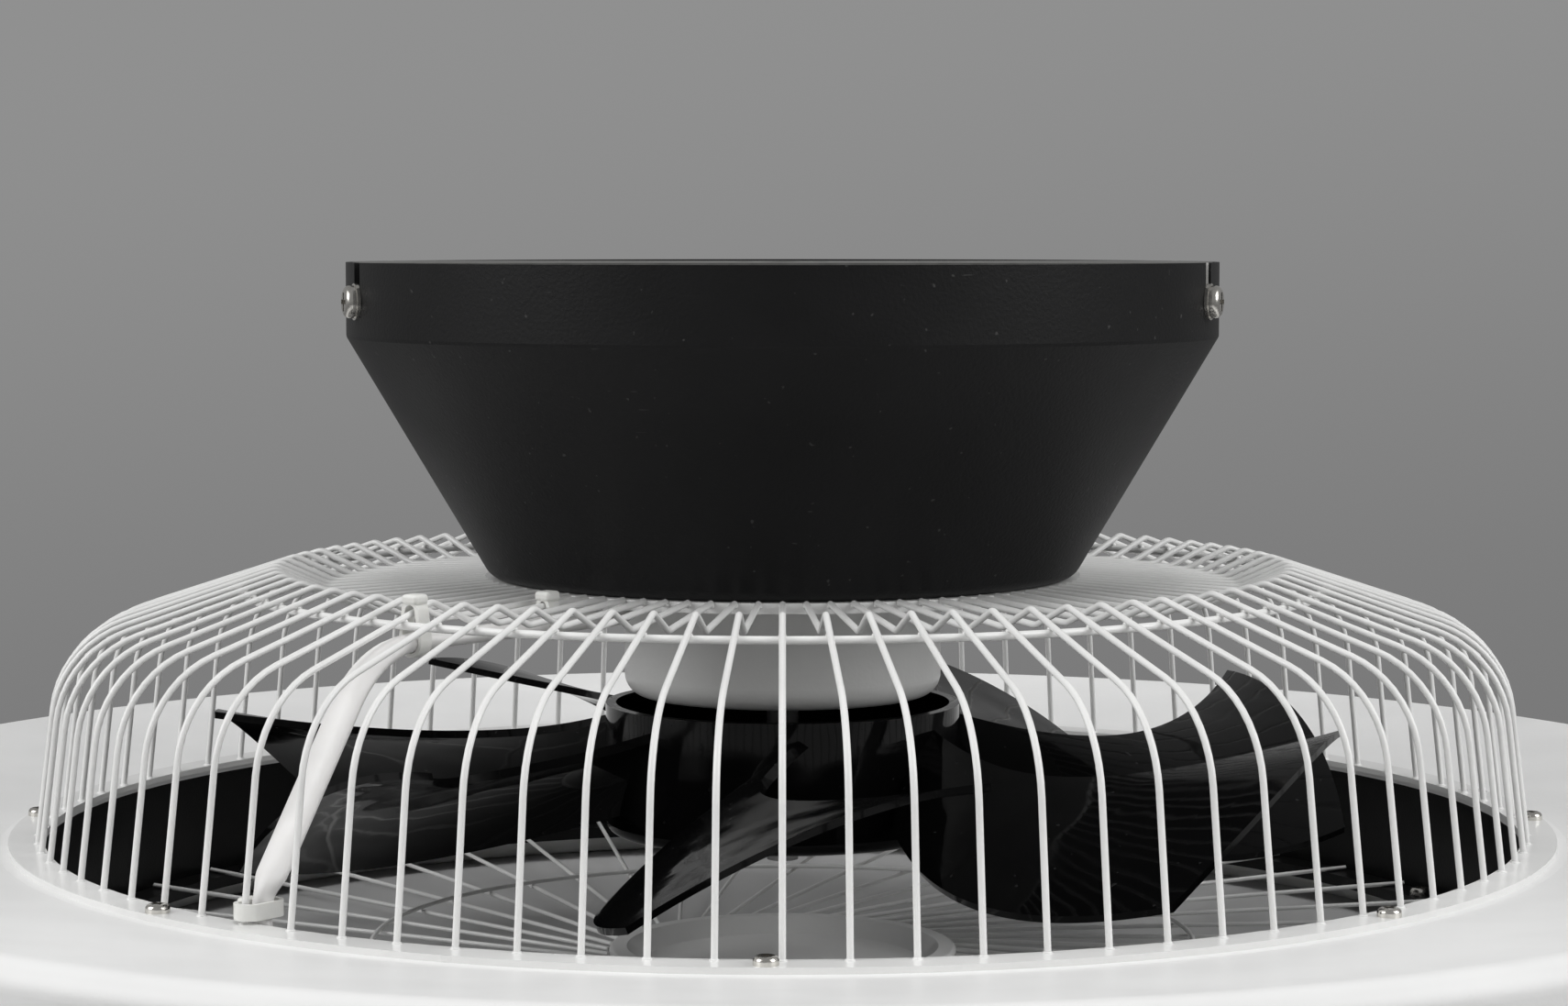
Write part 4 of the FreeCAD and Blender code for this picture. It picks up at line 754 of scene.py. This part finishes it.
@dataclass
class LampLead:
    """White flattened sleeve that its ties gather, from the canopy to the lamp."""

    wires_from_front: int = 9
    half_width: float = 4.5 * MM
    half_depth: float = 2.0 * MM
    gathered: float = 2.3 * MM
    grip: float = 2.0 * MM
    gather_reach: float = 6.0 * MM
    crease: float = 0.07
    crease_width: float = 0.3
    crease_from: float = 1.35 * math.pi
    crease_turn: float = 0.3 * math.pi
    sides: int = 40
    line_steps: int = 12
    tie_edge: float = 0.3 * MM
    route: Tuple[Tuple[float, float], ...] = (
        (60.0, -64.3),
        (60.0, -72.7),
        (60.0, -85.2),
        (73.7, -85.2),
        (117.0, -85.2),
        (147.5, -85.2),
        (164.0, -110.3),
        (178.0, -131.5),
        (181.3, -136.5),
        (181.8, -142.6),
        (182.5, -152.8),
        (192.0, -154.2),
        (203.2, -156.0),
    )
    holds: Tuple[Tuple[float, float], ...] = (
        (60.0, -72.0),
        (89.0, -85.2),
        (133.5, -85.4),
        (181.5, -139.4),
        (189.0, -153.8),
    )

    @property
    def bearing(self) -> float:
        """Bearing of the wire that the lead is tied to, in degrees."""
        return FRONT_BEARING - self.wires_from_front * 360 / WIRE_COUNT

    def in_place(self, radius: float, height: float) -> Vector:
        """Return a point beside the lead's wire from its millimetres."""
        return turn_about_axis(Vector((radius * MM, 0, height * MM)), self.bearing)

    def centreline(self) -> List[Vector]:
        """Return points along the lead's smooth line.

        Returns:
            Points of a spline whose control points are the route.
        """
        curve = bpy.data.curves.new("lead_line", "CURVE")
        curve.dimensions = "3D"
        curve.resolution_u = self.line_steps
        spline = curve.splines.new("NURBS")
        spline.points.add(len(self.route) - 1)
        for point, (radius, height) in zip(spline.points, self.route):
            point.co = (*self.in_place(radius, height), 1.0)
        spline.order_u = 3
        spline.use_endpoint_u = True
        carrier = bpy.data.objects.new("lead_line", curve)
        line = bpy.data.meshes.new_from_object(carrier)
        points = [vertex.co.copy() for vertex in line.vertices]
        bpy.data.meshes.remove(line)
        bpy.data.objects.remove(carrier)
        bpy.data.curves.remove(curve)
        return points

    def spread(self, point: Vector) -> float:
        """Return how freely the sleeve spreads: 0 at a tie or bush and 1 away from them.

        Args:
            point: A point of the centreline.

        Returns:
            The share of the full width.
        """
        nearest = min((point - self.in_place(*hold)).length for hold in self.holds)
        share = min(1.0, max(0.0, nearest - self.grip) / self.gather_reach)
        return share * share * (3 - 2 * share)

    def rim(self, angle: float, free: float, crease_at: float) -> Tuple[float, float]:
        """Return one point of the sleeve's section.

        Args:
            angle: Direction round the sleeve in radians.
            free: Share of the full width.
            crease_at: Direction of the crease in radians.

        Returns:
            Distances across the plane of the lead and in that plane.
        """
        away = math.remainder(angle - crease_at, 2 * math.pi)
        pinch = 1 - self.crease * math.exp(-(away / self.crease_width) ** 2)
        wide = self.gathered + (self.half_width - self.gathered) * free
        deep = self.gathered + (self.half_depth - self.gathered) * free
        return wide * pinch * math.cos(angle), deep * pinch * math.sin(angle)

    def build(self) -> bpy.types.Mesh:
        """Return the sleeve's mesh along the smooth line."""
        points = self.centreline()
        across = turn_about_axis(Vector((0, 1, 0)), self.bearing)
        shape = bmesh.new()
        rings = []
        for number, point in enumerate(points):
            before = points[max(0, number - 1)]
            after = points[min(len(points) - 1, number + 1)]
            along = (after - before).normalized()
            up = across.cross(along).normalized()
            free = self.spread(point)
            crease_at = self.crease_from + self.crease_turn * number / len(points)
            ring = []
            for side in range(self.sides):
                wide, deep = self.rim(2 * math.pi * side / self.sides, free, crease_at)
                ring.append(shape.verts.new(point + across * wide + up * deep))
            rings.append(ring)
        for ring, after in zip(rings, rings[1:]):
            for side in range(self.sides):
                nextside = (side + 1) % self.sides
                shape.faces.new((ring[side], ring[nextside], after[nextside], after[side]))
        shape.faces.new(list(reversed(rings[0])))
        shape.faces.new(rings[-1])
        bmesh.ops.recalc_face_normals(shape, faces=shape.faces)
        mesh = bpy.data.meshes.new("lead_sleeve")
        shape.to_mesh(mesh)
        shape.free()
        return mesh

    def dress(self, paint: Paintbox) -> None:
        """Put the sleeve in place of the plain lead and soften what holds it."""
        sleeve = add_piece("lead_sleeve", self.build(), Body.FIXED, "lead_white", paint)
        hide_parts("lamp_lead")
        soften("lead_ties", self.tie_edge)


@dataclass
class Hardware:
    """Small edges of sheet metal and moulded pieces that catch the light."""

    sheet_edge: float = 0.25 * MM
    moulded_edge: float = 0.5 * MM

    def dress(self) -> None:
        """Round the sharp edges of sheet and moulded pieces."""
        for node in ("ceiling_bracket", "cage_flange", "cage_plate", "lamp_pan", "grille_ring"):
            soften(node, self.sheet_edge)
        for node in ("control_box", "control_lid", "terminal_block", "duct_ring", "board_parts"):
            soften(node, self.moulded_edge)


@dataclass(frozen=True)
class SoftBox:
    """One soft square light of the studio."""

    name: str
    place: Triple
    side: float
    watts: float
    mirrored: bool = True

    def hang(self, aim: Triple) -> None:
        """Hang the light.

        Args:
            aim: Where it points.
        """
        data = bpy.data.lights.new(self.name, "AREA")
        data.shape = "SQUARE"
        data.size = self.side
        data.energy = self.watts
        light = bpy.data.objects.new(self.name, data)
        light.location = self.place
        light.rotation_mode = "QUATERNION"
        light.rotation_quaternion = (Vector(aim) - Vector(self.place)).to_track_quat("-Z", "Y")
        light.visible_glossy = self.mirrored
        bpy.context.scene.collection.objects.link(light)
        LOG.info("%s hung", self.name)


@dataclass
class Studio:
    """Pale floor, grey background, soft lights and the camera."""

    floor_height: float = -181.6 * MM
    floor_radius: float = 1.2
    pale: Colour = (0.5, 0.5, 0.5)
    floor_sides: int = 96
    floor_roughness: float = 0.8
    floor_shine: float = 0.2
    paper_scale: float = 400.0
    paper_rough: float = 0.1
    fade_span: Span = (0.33, 0.46)
    sky_high: Colour = (0.279, 0.279, 0.279)
    sky_low: Colour = (0.192, 0.192, 0.192)
    sky_span: Span = (-0.17, 0.08)
    sky_lean: float = 0.1
    front_light: float = 0.08
    side_light: float = 0.7
    side_span: Span = (0.2, 0.95)
    side_rise: Span = (-0.35, 0.05)
    top_light: float = 0.1
    top_span: Span = (0.35, 0.95)
    background_rays: Tuple[str, str, str] = ("Is Camera Ray", "Is Glossy Ray", "Is Transmission Ray")
    lights: Tuple[SoftBox, ...] = (
        SoftBox("overhead", (0.0, -0.55, 1.7), 0.8, 13.5, mirrored=False),
        SoftBox("left_box", (-1.4, -0.6, 0.75), 1.1, 12.5),
        SoftBox("right_box", (1.4, -0.6, 0.75), 1.1, 12.5),
    )
    aim: Triple = (0.0, 0.0, -0.1)
    focal_px: float = 3999.5
    sensor_mm: float = 36.0
    sight_span: Span = (0.01, 100.0)
    eye: Triple = (0.35 * MM, -931.5 * MM, 6.26 * MM)
    pitch: float = 0.0724

    def floor(self) -> None:
        """Lay a plain pale floor that fades into the distance."""
        shape = bmesh.new()
        bmesh.ops.create_circle(shape, cap_ends=True, segments=self.floor_sides, radius=self.floor_radius)
        mesh = bpy.data.meshes.new("floor")
        shape.to_mesh(mesh)
        shape.free()
        ground = bpy.data.objects.new("floor", mesh)
        ground.location = (0, 0, self.floor_height)
        bpy.context.scene.collection.objects.link(ground)
        book = ShaderBook("floor_paper")
        point = book.place()
        reach = book.vector("LENGTH", point, (0.0, 0.0, 0.0), "Value")
        grain = book.noise(point, self.paper_scale)
        rough = self.floor_roughness + (grain - 0.5) * self.paper_rough
        paper = book.surface(Base_Color=self.pale, Roughness=rough, Specular_IOR_Level=self.floor_shine,
                             Alpha=1 - reach.smooth(*self.fade_span))
        ground.data.materials.append(paper)

    def sky(self) -> None:
        """Fill the surroundings with soft light behind a grey background that darkens downwards."""
        world = bpy.data.worlds.new("studio")
        bpy.context.scene.world = world
        book = NodeBook(world)
        across, _, up = book.parts(book.node("ShaderNodeTexCoord", {}, {}, "Generated"))
        level = (up - across * self.sky_lean).smooth(*self.sky_span)
        grey = book.mix(level, self.sky_low, self.sky_high)
        seen = book.node("ShaderNodeBackground", {}, {"Color": grey})
        beside = abs(across).smooth(*self.side_span) * up.smooth(*self.side_rise)
        above = up.smooth(*self.top_span)
        glow = self.front_light + beside * self.side_light + above * self.top_light
        white = book.mix(glow, (0.0, 0.0, 0.0), (1.0, 1.0, 1.0))
        light = book.node("ShaderNodeBackground", {}, {"Color": white})
        camera, mirror, clear = [book.node("ShaderNodeLightPath", {}, {}, ray)
                                 for ray in self.background_rays]
        both = book.node("ShaderNodeMixShader", {}, {0: camera + mirror + clear, 1: light, 2: seen})
        output = book.tree.nodes.new("ShaderNodeOutputWorld")
        book.feed(output.inputs["Surface"], both)

    def camera(self) -> None:
        """Stand the camera where the photograph was taken."""
        data = bpy.data.cameras.new("camera")
        data.sensor_fit = "HORIZONTAL"
        data.sensor_width = self.sensor_mm
        data.lens = self.focal_px * self.sensor_mm / IMAGE_WIDTH
        data.clip_start, data.clip_end = self.sight_span
        camera = bpy.data.objects.new("camera", data)
        camera.location = self.eye
        camera.rotation_euler = (math.pi / 2 - self.pitch, 0, 0)
        bpy.context.scene.collection.objects.link(camera)
        bpy.context.scene.camera = camera

    def build(self) -> None:
        """Set up the whole stage."""
        self.floor()
        self.sky()
        for light in self.lights:
            light.hang(self.aim)
        self.camera()
        bpy.context.scene.view_settings.view_transform = "Standard"


def main() -> None:
    """Dress the fan and set the stage."""
    logging.basicConfig(level=logging.INFO)
    paint = Paintbox()
    paint.paint_nodes()
    WireCage().dress(paint)
    LampLead().dress(paint)
    Hardware().dress()
    Studio().build()


if __name__ == "__main__":
    main()
